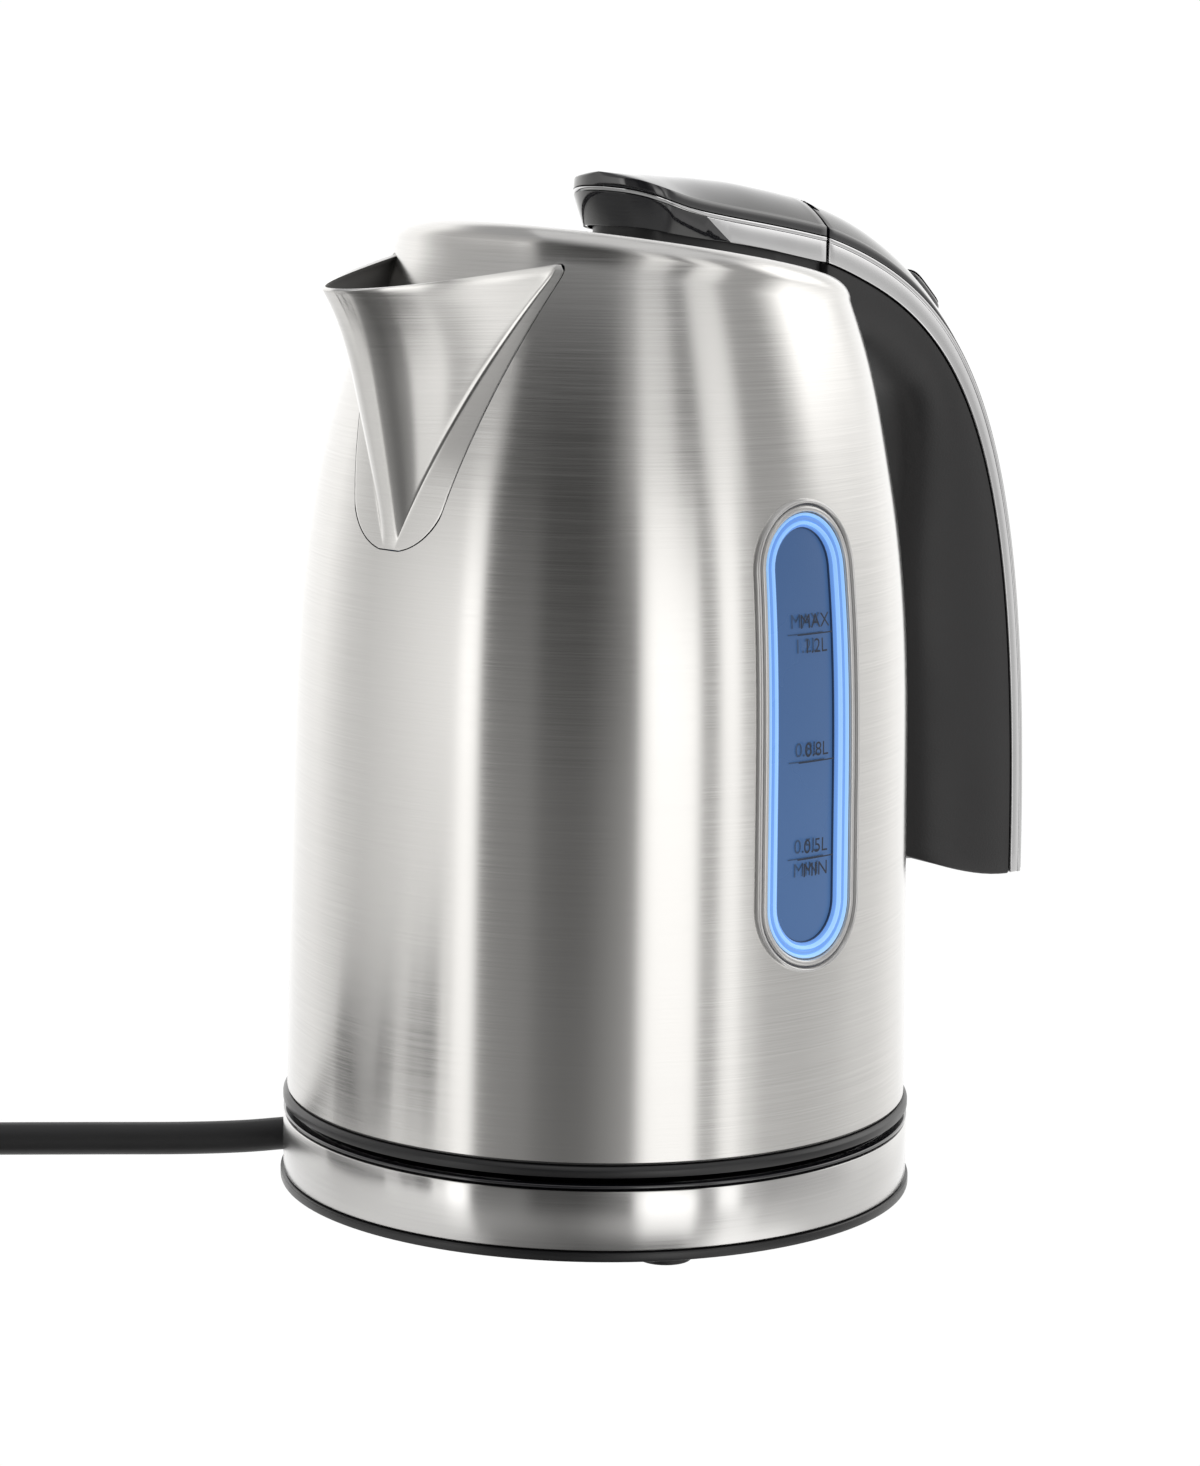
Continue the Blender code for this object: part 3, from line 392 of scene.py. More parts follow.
def brushed_grain():
    """Streaks along the level direction: a fine set for the grit and a broad set for its unevenness."""
    tree, start, end = group("brushed_grain", (("Depth", 0.00001), ("Low", 0.2), ("High", 0.35)), "Streaks")
    link = tree.links.new
    coords = node(tree, "TexCoord")
    both = node(tree, "Mix", {"Factor": BROAD_SHARE})
    for stretch, side in ((FINE_STREAKS, "A"), (BROAD_STREAKS, "B")):
        squeeze = node(tree, "Mapping", {"Scale": stretch})
        noise = node(tree, "TexNoise", {"Scale": 1.0, "Detail": 2.0})
        link(coords.outputs["Object"], squeeze.inputs["Vector"])
        link(squeeze.outputs["Vector"], noise.inputs["Vector"])
        link(noise.outputs["Fac"], both.inputs[side])
    return grain_outputs(tree, start, end, both.outputs["Result"], both.outputs["Result"], 0.3, 0.7)


def moulded_grain():
    """The fine spark-eroded texture of moulded plastic, with broad faint patches from handling."""
    tree, start, end = group("moulded_grain", (("Grain Scale", 2500.0), ("Depth", 0.00002), ("Low", 0.3),
                                               ("High", 0.5)), "Patches")
    link = tree.links.new
    coords = node(tree, "TexCoord")
    fine = node(tree, "TexNoise", {"Detail": 2.0})
    broad = node(tree, "TexNoise", {"Scale": 28.0, "Detail": 4.0})
    link(start.outputs["Grain Scale"], fine.inputs["Scale"])
    for noise in (fine, broad):
        link(coords.outputs["Object"], noise.inputs["Vector"])
    return grain_outputs(tree, start, end, broad.outputs["Fac"], fine.outputs["Fac"], 0.35, 0.65)


BRUSHED = brushed_grain()
MOULDED = moulded_grain()


def grained(name, tree, dark, light, low, high, depth, extra=(), scale=None):
    """A material whose colour, roughness and normal come from one of the grain groups."""
    mat = bpy.data.materials.new(name)
    mat.use_nodes = True
    link = mat.node_tree.links.new
    shader = mat.node_tree.nodes["Principled BSDF"]
    grain = node(mat.node_tree, "Group", node_tree=tree)
    for socket, value in (("Depth", depth), ("Low", low), ("High", high), ("Grain Scale", scale)):
        if value is not None:
            grain.inputs[socket].default_value = value
    colour = node(mat.node_tree, "Mix", {"A": (*dark, 1), "B": (*light, 1)}, data_type="RGBA")
    link(grain.outputs[0], colour.inputs["Factor"])
    link(colour.outputs["Result"], shader.inputs["Base Color"])
    link(grain.outputs["Roughness"], shader.inputs["Roughness"])
    link(grain.outputs["Normal"], shader.inputs["Normal"])
    for socket, value in extra:
        shader.inputs[socket].default_value = value
    return mat


STREAK_DEPTH = 0.0000014


def metal(name, dark, light, low, high, anisotropy=0.92):
    return grained(name, BRUSHED, dark, light, low, high, STREAK_DEPTH,
                   (("Metallic", 1.0), ("Anisotropic", anisotropy), ("Anisotropic Rotation", 0.25)))


def plastic(name, dark, light, low, high, depth=0.00002, scale=2500.0, extra=()):
    return grained(name, MOULDED, dark, light, low, high, depth, extra, scale)


# %% The finishes
METALLIC = (("Metallic", 1.0),)
STEEL = metal("brushed_steel_jug", (0.57, 0.562, 0.55), (0.74, 0.732, 0.72), 0.18, 0.25)
BAND_STEEL = metal("brushed_steel_band", (0.60, 0.595, 0.59), (0.69, 0.685, 0.68), 0.15, 0.21)
# A darker copy of the steel, used inside the spout: painted shade.
SPOUT_PAINTED_SHADE_STEEL = metal("steel_painted_shade", (0.10, 0.098, 0.095), (0.17, 0.166, 0.16), 0.30, 0.42, anisotropy=0.3)
INNER_STEEL = metal("plain_steel", (0.45, 0.45, 0.44), (0.66, 0.66, 0.65), 0.25, 0.4, anisotropy=0.3)
TRIM = plastic("satin_chrome", (0.62, 0.62, 0.63), (0.74, 0.74, 0.75), 0.14, 0.24, 0.000002, 900.0, METALLIC)
BRIGHT_TRIM = plastic("bright_chrome", (0.66, 0.66, 0.67), (0.72, 0.72, 0.73), 0.05, 0.10, 0.000001, 500.0,
                      METALLIC)
GLOSS = plastic("gloss_black_lacquer", (0.006, 0.006, 0.009), (0.014, 0.014, 0.018), 0.05, 0.11, 0.000002,
                700.0, (("Coat Weight", 0.7), ("Coat Roughness", 0.03), ("IOR", 1.6)))
CHARCOAL = plastic("matt_charcoal_grip", (0.012, 0.0115, 0.0125), (0.022, 0.0215, 0.023), 0.40, 0.52, 0.00004,
                   1900.0)
BLACK = plastic("satin_black_plastic", (0.012, 0.012, 0.013), (0.022, 0.022, 0.024), 0.28, 0.40, 0.00001)
RUBBER = plastic("black_rubber_lead", (0.014, 0.014, 0.015), (0.026, 0.026, 0.028), 0.42, 0.56, 0.00002,
                 1400.0)
SILICONE = plastic("grey_seal", (0.26, 0.27, 0.29), (0.34, 0.35, 0.37), 0.45, 0.6)
BRASS = plastic("contact_brass", (0.60, 0.44, 0.18), (0.74, 0.57, 0.28), 0.22, 0.38, 0.000004, 900.0,
                METALLIC)
NICKEL = plastic("nickel_pin", (0.58, 0.57, 0.54), (0.70, 0.69, 0.66), 0.16, 0.28, 0.000003, 900.0, METALLIC)
ALUMINIUM = plastic("cast_aluminium", (0.50, 0.50, 0.52), (0.66, 0.66, 0.68), 0.35, 0.5, 0.00002, 1200.0,
                    METALLIC)
BEZEL = plastic("clear_frame", (0.54, 0.535, 0.53), (0.68, 0.675, 0.67), 0.06, 0.12, 0.000001, 300.0,
                (("Coat Weight", 1.0), ("Coat Roughness", 0.03), ("Metallic", 0.35)))
LINE = plastic("shadow_line", (0.20, 0.21, 0.25), (0.28, 0.29, 0.33), 0.2, 0.3)
DEEP_LINE = plastic("deep_shadow_line", (0.03, 0.06, 0.13), (0.05, 0.09, 0.18), 0.2, 0.3)
INK = plastic("printed_ink", (0.012, 0.02, 0.045), (0.018, 0.03, 0.06), 0.4, 0.5)
GHOST_INK = plastic("ink_shadow", (0.04, 0.08, 0.17), (0.05, 0.10, 0.20), 0.4, 0.5)


def glowing(name, low, high, bright, centre_z, reach):
    """A lit translucent plastic whose emission is painted light from the board in the foot: brighter low
    down, fading upwards.
    """
    mat = plastic(name, tuple(c * 0.4 for c in low), tuple(c * 0.4 for c in high), 0.2, 0.3)
    tree = mat.node_tree
    shader = tree.nodes["Principled BSDF"]
    coords = node(tree, "TexCoord")
    parts = node(tree, "SeparateXYZ")
    fall = node(tree, "MapRange", {"From Min": (centre_z - reach) * MM, "From Max": (centre_z + reach) * MM},
                interpolation_type="SMOOTHSTEP")
    mix = node(tree, "Mix", {"A": (*high, 1), "B": (*low, 1)}, data_type="RGBA")
    for output, target in ((coords.outputs["Object"], parts.inputs["Vector"]),
                           (parts.outputs["Z"], fall.inputs["Value"]),
                           (fall.outputs["Result"], mix.inputs["Factor"]),
                           (mix.outputs["Result"], shader.inputs["Emission Color"])):
        tree.links.new(output, target)
    shader.inputs["Emission Strength"].default_value = bright
    return mat


GLOW = glowing("lit_blue_ring", (0.12, 0.27, 0.66), (0.17, 0.36, 0.80), 0.85, 112, 90)
# The pale rings are lit too, and their paler colour is also a painted highlight on the lens edges.
HIGHLIGHT_GLOW = glowing("lit_ring_painted_highlight", (0.24, 0.46, 0.80), (0.36, 0.60, 0.92), 0.95, 112, 90)
PANEL = glowing("lit_blue_panel", (0.040, 0.092, 0.215), (0.058, 0.13, 0.29), 0.85, 112, 60)
print("materials:", len(bpy.data.materials))

# %% [markdown]
# ## The mains lead
# The lead is a real length of round cable: it leaves the base level, drops to the table and runs straight
# for a hand's width. The rest is put away as a neat tied coil of two turns and a bit, with a two-pin plug
# beside it. A curve with a round bevel is the natural way to make a cable, because the route stays a list
# of points that a person can read.

# %% Lead
CORD_D = 7.6
CORD_EXIT = (-36.6, 64.4, 5.1)
CORD_HEADING = radians(137.2)
COIL_MEAN_R = 40.0
COIL_RUN = 120.0
ON_TABLE = 3.9
PLUG_TILT = radians(8)
PLUG_LENGTH = 62.0
ROUTE = [CORD_EXIT, (-44, 71.3, 4.3), (-54, 80.6, ON_TABLE), (-68.8, 94.3, ON_TABLE),
         (-85.6, 109.9, ON_TABLE), (-105.4, 128.0, ON_TABLE)]
heading = Vector((cos(CORD_HEADING), sin(CORD_HEADING), 0))
outer_turn, inner_turn = COIL_MEAN_R + CORD_D / 2, COIL_MEAN_R - CORD_D / 2
coil_at = (Vector((CORD_EXIT[0], CORD_EXIT[1], 0)) + heading * COIL_RUN
           + Vector((-heading.y, heading.x, 0)) * outer_turn)
COIL_START = 47.2
# (degrees wound, radius, height) where the coil changes: it moves inwards, then climbs on to itself.
COIL_PLAN = ((COIL_START, outer_turn, ON_TABLE), (345, outer_turn, ON_TABLE), (400, inner_turn, ON_TABLE),
             (655, inner_turn, ON_TABLE), (700, 39.4, 11.7), (762, 40.0, 11.2), (868, 40.4, 10.7),
             (900, outer_turn, 11.0))
DEGREES_PER_STEP = 12


def coil_points():
    points = []
    for (a0, r0, z0), (a1, r1, z1) in zip(COIL_PLAN, COIL_PLAN[1:]):
        steps = max(3, round((a1 - a0) / DEGREES_PER_STEP))
        for k in range(steps):
            share = smooth_step(k / steps)
            a, r = radians(blend(a0, a1, k / steps)), blend(r0, r1, share)
            points.append((coil_at.x + r * cos(a), coil_at.y + r * sin(a), blend(z0, z1, share)))
    return points


plug_start = coil_at + Vector((-outer_turn, -28.5, 11.2))
lead_route = ROUTE + coil_points() + [(coil_at.x - outer_turn, coil_at.y, 11.0),
                                      (coil_at.x - outer_turn, coil_at.y - 14, 11.1), tuple(plug_start)]


def smooth_path(points, step):
    """Evenly spaced points on a smooth curve through a route."""
    pts = [Vector(p) for p in points]
    pts = [pts[0] * 2 - pts[1]] + pts + [pts[-1] * 2 - pts[-2]]
    fine = []
    for a, b, c, d in zip(pts, pts[1:], pts[2:], pts[3:]):
        for k in range(12):
            t = k / 12
            fine.append(0.5 * ((2 * b) + (c - a) * t + (2 * a - 5 * b + 4 * c - d) * t * t
                               + (3 * b - a - 3 * c + d) * t ** 3))
    fine.append(pts[-2])
    path, run = [fine[0]], 0.0
    for p, q in zip(fine, fine[1:]):
        run += (q - p).length
        if run >= step:
            path.append(q)
            run = 0.0
    path[-1] = fine[-1]
    return path


PATH_STEP = 2.2
lead_path = smooth_path(lead_route, PATH_STEP)
lead_length = sum((b - a).length for a, b in zip(lead_path, lead_path[1:]))
lead_curve = bpy.data.curves.new("mains_lead", "CURVE")
lead_curve.dimensions = "3D"
lead_curve.bevel_depth = CORD_D / 2 * MM
lead_curve.bevel_resolution = 6
lead_curve.use_fill_caps = True
lead_line = lead_curve.splines.new("POLY")
lead_line.points.add(len(lead_path) - 1)
for point, place in zip(lead_line.points, lead_path):
    point.co = (*in_metres(*place), 1)
lead_curve.materials.append(RUBBER)
mains_lead = new_object("mains_lead", lead_curve)
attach(mains_lead, "base")
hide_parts("power_cord", "cord_coil")
print("lead length", round(lead_length, 1), "mm in", len(lead_path), "points")

# %% Plug
plug_way = Vector((0, -cos(PLUG_TILT), sin(PLUG_TILT)))
plug_place = stood_at(plug_start, plug_way)
FACE_FLAT = 15.6
PIN_END = 81.3


def plug_body():
    """Ribbed relief, waisted grip and a round face with two flats."""
    ribs = [(blend(4.5, 6.4, k / 14) + (0.45 if k % 2 else -0.35), 1.0 + 22 * k / 14) for k in range(15)]
    grip = [(9.6, 24.6), (11.6, 27.4), (12.5, 31), (12.3, 36), (12.4, 41), (13.2, 45.5), (15.2, 48.4),
            (17.6, 50.4), (18.4, 52.4), (18.4, 60.8), (17.7, PLUG_LENGTH)]
    bm = turned([(0, 0), (4.3, 0)] + ribs + grip + [(0, PLUG_LENGTH)], 96)

    def flattened(x, y, z):
        share = smooth_step((z - 40) / 12)
        return x, min(max(y, -FACE_FLAT), FACE_FLAT) * share + y * (1 - share), z
    return moved(reshaped(bm, flattened), plug_place)


plug = piece("mains_plug", plug_body(), "base", BLACK, "matte_black", "plug_body", smooth=50)
for k, x in ((1, -9.5), (2, 9.5)):
    pin_bm = turned([(0, PLUG_LENGTH - 2), (2.4, PLUG_LENGTH - 2), (2.4, 79.6), (2.1, 80.7), (1.3, PIN_END),
                     (0, PIN_END)], 40)
    moved(pin_bm, plug_place @ Matrix.Translation((x, 0, 0)))
    piece(f"mains_pin_{k}", pin_bm, "base", NICKEL, "brass", f"plug_pin_{k}")


def tie_strap():
    """A flat strap wound once round the coil and lapped on itself."""
    low, high, top, foot = inner_turn - 4.6, outer_turn + 4.6, 15.4, 0.06
    outline = [(low, foot), (high, foot), (high + 0.5, 4), (high, 9), (COIL_MEAN_R + 5, top),
               (COIL_MEAN_R - 5, top), (low, 9), (low - 0.5, 4)]

    def rule(u, v):
        place = (u * len(outline)) % len(outline)
        k = int(place) % len(outline)
        x0, z0 = outline[k]
        x1, z1 = outline[(k + 1) % len(outline)]
        t = place - int(place)
        return blend(x0, x1, t), blend(-4.5, 4.5, v), blend(z0, z1, t)
    bm = formed(64, 6, rule)
    bmesh.ops.recalc_face_normals(bm, faces=bm.faces)
    bmesh.ops.solidify(bm, geom=bm.faces, thickness=0.5)
    return moved(bm, Matrix.Translation(coil_at) @ Matrix.Rotation(radians(-100), 4, "Z"))


tie = piece("coil_strap", tie_strap(), "base", CHARCOAL, "matte_black", "coil_tie")

# %% [markdown]
# ## The jug
# The body is one drawn steel wall. Its outline is nearly straight, then domes inwards, and above the spout's
# foot the whole wall leans towards the handle, which tips the rim. Turning the outline gives the round form,
# and a rule then leans it. The spout's opening, the gauge window and the switch slot are cut out afterwards.

# %% The body's form
BODY_R = 70.1
FOOT_Z = 22.9
TAPER = 0.0145
DOME_Z = 99.0
DOME = 18.5
DOME_POWER = 2.6
RIM_Z = 211.7
WALL = 0.9
LEAN_Z = 162.6
LEAN_SHIFT = 5.09
LEAN_SLOPE = 0.168


def body_radius(z):
    dome = max(0.0, (z - DOME_Z) / (RIM_Z - DOME_Z))
    return BODY_R - TAPER * (z - FOOT_Z) - DOME * dome ** DOME_POWER


def lean_share(z):
    return smooth_step((z - LEAN_Z) / (RIM_Z - LEAN_Z))


def leaned(x, y, z):
    share = lean_share(z)
    x += LEAN_SHIFT * share
    return x, y, z - LEAN_SLOPE * share * x


def rim_leaned(x, y, z):
    x += LEAN_SHIFT
    return x, y, z - LEAN_SLOPE * x


def body_front(y, z, inset=0.0):
    """How far forward the leaned wall lies at a point, found by closing in on the height before the lean."""
    level, x = z, 0.0
    for _ in range(20):
        share = lean_share(level)
        r = body_radius(level) - inset
        x = LEAN_SHIFT * share - sqrt(max(r * r - y * y, 1.0))
        level = z + LEAN_SLOPE * share * x
    return x


def extruded(points, way):
    """A flat outline of points, pulled along a vector into a solid."""
    bm = bmesh.new()
    face = bm.faces.new([bm.verts.new(point) for point in points])
    pulled = bmesh.ops.extrude_face_region(bm, geom=[face])["geom"]
    bmesh.ops.translate(bm, verts=[v for v in pulled if isinstance(v, bmesh.types.BMVert)], vec=way)
    return bm


def prism(outline, x0, x1):
    """An outline of (y, z) points pulled from x0 to x1."""
    bm = extruded([(x0, y, z) for y, z in outline], (x1 - x0, 0, 0))
    bmesh.ops.recalc_face_normals(bm, faces=bm.faces)
    return bm


def box(x, y, z, rounding=0.0):
    bm = prism([(y[0], z[0]), (y[1], z[0]), (y[1], z[1]), (y[0], z[1])], *x)
    return softened(bm, rounding) if rounding else bm


# %% Spout outline
SPOUT_TOP_Z = 210.9
SPOUT_FOOT_Z = 150.4
SPOUT_DEPTH = 34.6
MOUTH_DROP = 5.4
CORNER = 3.0
SEAM = 0.18
# The flange's side is a line through (half width, height) with a slope, over a round foot. The crease has
# such a line too.
SIDE_AT, SIDE_SLOPE = (14.1, 162.5), 0.262
FOOT_R, FOOT_CENTRE_Z = 14.2, 164.4
CREASE_AT, CREASE_SLOPE, CREASE_LEAST = (25.2, 211.0), 0.39, 1.6


def seam_half_width(z, grow=0.0):
    """Half the width of the spout's flange at a height: straight sides over a round foot."""
    line = SIDE_AT[0] + SIDE_SLOPE * (z - SIDE_AT[1])
    if z < FOOT_CENTRE_Z - 1:
        line = min(line, sqrt(max((FOOT_R + grow) ** 2 - (FOOT_CENTRE_Z - z) ** 2, 0.0)))
    over = max(0.0, z - (SPOUT_TOP_Z - CORNER))
    return line + grow - 0.5 * (CORNER - sqrt(max(CORNER ** 2 - over ** 2, 0.0)))


def crease_half_width(z):
    return max(CREASE_LEAST, CREASE_AT[0] - CREASE_SLOPE * (CREASE_AT[1] - z))


def spout_opening():
    """The welded opening. Behind the mouth the body's own wall is left standing between the flanges."""
    sides = [(max(0.5, crease_half_width(z) - 0.45), z) for z in (199, 203, 207, 211, 214)]
    standing = prism(sides + [(-y, z) for y, z in reversed(sides)], -95, -20)
    opening = add_mesh("opening", prism(opening_outline(), -92, -30))
    carve(opening, [add_mesh("standing_wall", standing)])
    return opening


def opening_outline():
    steps = 18
    side = [(seam_half_width(z, SEAM), z)
            for z in [SPOUT_FOOT_Z - SEAM + 13 * (1 - cos(pi / 2 * k / steps)) for k in range(1, steps)]]
    side += [(seam_half_width(z, SEAM), z) for z in (170, 180, 190, 200, 207.9, 208.9, 209.9, 210.6, 211.05)]
    return side + [(-y, z) for y, z in reversed(side)]


# %% Jug body
def oval(width, height, steps=24):
    r = width / 2
    top = [(r * cos(a), height / 2 - r + r * sin(a)) for a in [pi * k / steps for k in range(steps + 1)]]
    return top + [(-t, -z) for t, z in top]


GAUGE_ANGLE = radians(-95.7)
GAUGE_Z = 112.1
GAUGE_W, GAUGE_H = 29.6, 101.2
LIP_Z = 207.2
LIP_IN = 45.3
LIP_HEIGHT = 4.9


def jug_body():
    rows = 64
    wall = [(body_radius(z), z) for z in [blend(FOOT_Z + 0.5, LIP_Z, k / rows) for k in range(rows + 1)]]
    lip_out = wall[-1][0]
    lip = [(blend(LIP_IN, lip_out, cos(a)), LIP_Z + LIP_HEIGHT * sin(a))
           for a in [pi / 2 * k / 10 for k in range(1, 11)]]
    inside = [(LIP_IN - 0.2, LIP_Z + 4.3), (LIP_IN - 0.2, 201.0)]
    inside += [(body_radius(z) - WALL, z)
               for z in (198, 190, 180, 170, 155, 140, 120, 99, 60, 40, FOOT_Z + 0.4)]
    foot = [(BODY_R - WALL + 0.2, FOOT_Z), (BODY_R - 0.3, FOOT_Z)]
    body = add_mesh("steel_jug", reshaped(turned(wall + lip + inside + foot), leaned))
    window = moved(prism(oval(GAUGE_W - 5, GAUGE_H - 5), 57, 81),
                   Matrix.Rotation(GAUGE_ANGLE, 4, "Z") @ Matrix.Translation((0, 0, GAUGE_Z)))
    carve(body, [spout_opening(), add_mesh("window", window),
                 add_mesh("slot", box((60, 80), (-9.6, 9.6), (20, 37.5)))])
    return finished(body, "jug", STEEL, "brushed_steel", "jug_body", smooth=28)


jug_body()

# %% [markdown]
# ## The spout
# The spout is a second pressing, welded into a V-shaped opening so that only a fine seam shows. Across it
# runs a flat flange that follows the body, then a soft crease, then a V section with a rounded nose.
# A rational curve with a heavy middle weight gives that V in one formula: near-straight sides and a tight
# nose.

# %% Spout
SPOUT_WALL = 0.9
FLANGE_SHARE = 0.12
SPOUT_SMOOTHINGS = 3
NOSE_BACK = 2.0
NOSE_DROP_Z = 186
NOSE_WEIGHT_FOOT, NOSE_WEIGHT_MOUTH = 0.9, 1.25


def spout_point(u, v):
    """u runs across the spout from one seam to the other, v from its mouth down to its foot."""
    z = blend(SPOUT_TOP_Z, SPOUT_FOOT_Z + 0.15, v ** 0.9)
    seam = seam_half_width(z)
    crease = min(crease_half_width(z), seam - 0.9, seam * 0.96)
    rise = max((z - SPOUT_FOOT_Z) / (SPOUT_TOP_Z - SPOUT_FOOT_Z), 0.0) ** 1.35
    side = 1 if u < 0.5 else -1
    edge = min(u, 1 - u)
    if edge < FLANGE_SHARE:
        y = blend(seam, crease, edge / FLANGE_SHARE)
        return body_front(y, z), side * y, z
    t = (u - FLANGE_SHARE) / (1 - 2 * FLANGE_SHARE)
    nose_z = z - MOUTH_DROP * max(0.0, (z - NOSE_DROP_Z) / (SPOUT_TOP_Z - NOSE_DROP_Z)) ** 2
    corner_x = body_front(crease, z)
    nose_x = body_front(0, nose_z) - (SPOUT_DEPTH - NOSE_BACK) * rise
    weight = blend(NOSE_WEIGHT_FOOT, NOSE_WEIGHT_MOUTH, rise)
    a, b, c = (1 - t) ** 2, 2 * t * (1 - t) * weight, t * t
    apex_x = (nose_x * (1 + weight) - corner_x) / weight
    apex_z = (nose_z * (1 + weight) - z) / weight
    total = a + b + c
    return (((a + c) * corner_x + b * apex_x) / total, crease * (a - c) / total,
            ((a + c) * z + b * apex_z) / total)


def spout():
    bm = formed(120, 72, spout_point)
    inner = [v for v in bm.verts if not v.is_boundary]
    for _ in range(SPOUT_SMOOTHINGS):
        bmesh.ops.smooth_vert(bm, verts=inner, factor=0.5, use_axis_x=True, use_axis_y=True, use_axis_z=True)
    bmesh.ops.recalc_face_normals(bm, faces=bm.faces)
    nose = min(bm.faces, key=lambda f: f.calc_center_median().x)
    if nose.normal.x > 0:
        bmesh.ops.reverse_faces(bm, faces=bm.faces)
    obj = add_mesh("steel_spout", bm, recalc=False)
    wall = obj.modifiers.new("wall", "SOLIDIFY")
    wall.thickness = SPOUT_WALL * MM
    wall.offset = -1
    wall.material_offset = 1
    edge = obj.modifiers.new("edge", "BEVEL")
    edge.width = 0.2 * MM
    edge.segments = 2
    edge.limit_method = "ANGLE"
    edge.angle_limit = radians(60)
    finished(obj, "jug", STEEL, "brushed_steel", "spout", smooth=40)
    # The spout's inner face takes the darker steel copy: painted shade.
    obj.data.materials.append(SPOUT_PAINTED_SHADE_STEEL)


spout()

# %% Strainer
# (height of a row of slots, how many there are on each side of the middle one)
SLOT_ROWS = ((194, 3), (186, 2), (178, 2), (170, 1))


def strainer():
    """A steel wall behind the spout with rows of slots, which fills the welded opening."""
    def rule(u, v):
        z = blend(152.5, 200.5, v)
        reach = seam_half_width(z) - 1.2
        y = blend(-reach, reach, u)
        return body_front(y, z, 1.15), y, z
    sheet = add_mesh("spout_strainer_wall", formed(40, 40, rule))
    wall = sheet.modifiers.new("wall", "SOLIDIFY")
    wall.thickness = 0.8 * MM
    wall.offset = 0
    centres = [(5 * k, z) for z, half in SLOT_ROWS for k in range(-half, half + 1)]
    slots = [add_mesh("slot", box((-75, -30), (y - 1.2, y + 1.2), (z - 2.5, z + 2.5))) for y, z in centres]
    carve(sheet, slots)
    finished(sheet, "jug", INNER_STEEL, "brushed_steel", "spout_strainer", smooth=40)


strainer()

# %% [markdown]
# ## The water gauge
# The gauge is a clear oval frame over a lit channel. Light from a small board in the foot fills the channel,
# so its rim glows brighter than the water behind. Every gauge piece is first made flat, as (sideways,
# height, depth), and then wrapped on to the body by one rule.

# %% Gauge
def on_body(depth, t, z):
    angle = GAUGE_ANGLE + t / BODY_R
    r = body_radius(z) + depth
    return r * cos(angle), r * sin(angle), z


def oval_point(width, height, share):
    """A point at a share of the way round an oval."""
    r, straight = width / 2, height / 2 - width / 2
    arc, side = pi * r, 2 * straight
    run = (share % 1.0) * 2 * (arc + side)
    flip = 1
    if run >= arc + side:
        run, flip = run - arc - side, -1
    if run < arc:
        return flip * r * cos(run / r), flip * (straight + r * sin(run / r))
    return -flip * r, flip * (straight - (run - arc))


OVAL_STEPS = 144


def oval_ring(section):
    """Sweeps a section of (inset from the edge, depth) points round the gauge's oval."""
    loop = section + section[:1]

    def rule(u, v):
        place = v * (len(loop) - 1)
        k = min(int(place), len(loop) - 2)
        inset = blend(loop[k][0], loop[k + 1][0], place - k)
        depth = blend(loop[k][1], loop[k + 1][1], place - k)
        t, z = oval_point(GAUGE_W - 2 * inset, GAUGE_H - 2 * inset, u)
        return on_body(depth, t, GAUGE_Z + z)
    return formed(OVAL_STEPS, len(loop) - 1, rule)


BEAD_ROOT = 0.6


def round_section(inset0, inset1, foot, top, steps=8):
    """An arch over a short root that is sunk in the wall."""
    middle, half = (inset0 + inset1) / 2, (inset1 - inset0) / 2
    arch = [(middle - half * cos(pi * k / steps), foot + (top - foot) * sin(pi * k / steps) ** 0.8)
            for k in range(steps + 1)]
    return arch + [(inset1, foot - BEAD_ROOT), (inset0, foot - BEAD_ROOT)]


def oval_plate(inset, depth, rows=48, columns=10):
    """A thin plate with the oval's outline that follows the body at a depth."""
    width, height = GAUGE_W - 2 * inset, GAUGE_H - 2 * inset
    r, straight = width / 2, height / 2 - width / 2

    def rule(u, v):
        a = pi * (v - 0.5)
        z = height / 2 * sin(a)
        over = max(0.0, abs(z) - straight)
        reach = sqrt(max(r * r - over * over, 0.0))
        return on_body(depth, blend(-reach, reach, u), GAUGE_Z + z)
    return formed(columns, rows, rule)


# The pale glows are lit rings carrying painted highlight lines; the grooves and the shadow line are dark
# lines of painted shade.
# (name, outer inset, inner inset, foot, top, material, slot, CAD pieces that it stands for)
GAUGE_RINGS = (("outer_bead", 0.0, 1.05, 0.1, 1.35, BEZEL, "clear_plastic", ("gauge_frame",)),
               ("outer_groove", 1.05, 1.3, 0.1, 0.5, LINE, "clear_plastic", ()),
               ("rim_band", 1.3, 2.75, 0.2, 1.0, BEZEL, "clear_plastic", ()),
               ("inner_groove", 2.75, 3.0, 0.0, 0.3, LINE, "clear_plastic", ()),
               ("outer_glow_highlight", 3.0, 3.6, -0.4, 0.5, HIGHLIGHT_GLOW, "lit_blue", ("gauge_seal",)),
               ("middle_glow", 3.6, 4.8, -0.8, 0.1, GLOW, "lit_blue", ()),
               ("bright_glow_highlight", 4.8, 5.5, -0.9, 0.2, HIGHLIGHT_GLOW, "lit_blue", ()),
               ("inner_glow", 5.5, 6.1, -1.3, -0.5, GLOW, "lit_blue", ()),
               ("shadow_line", 6.1, 6.4, -1.7, -1.2, DEEP_LINE, "lit_blue", ()))
for name, outer, inner, foot, top, material, slot, stands_for in GAUGE_RINGS:
    ring_bm = oval_ring(round_section(outer, inner, foot, top))
    piece("gauge_" + name, ring_bm, "jug", material, slot, *stands_for, smooth=60)
PANEL_INSET, PANEL_DEPTH = 6.25, -1.7
panel_bm = oval_plate(PANEL_INSET, PANEL_DEPTH)
bmesh.ops.recalc_face_normals(panel_bm, faces=panel_bm.faces)
piece("gauge_water_panel", panel_bm, "jug", PANEL, "lit_blue", "gauge_panel", "gauge_lens")

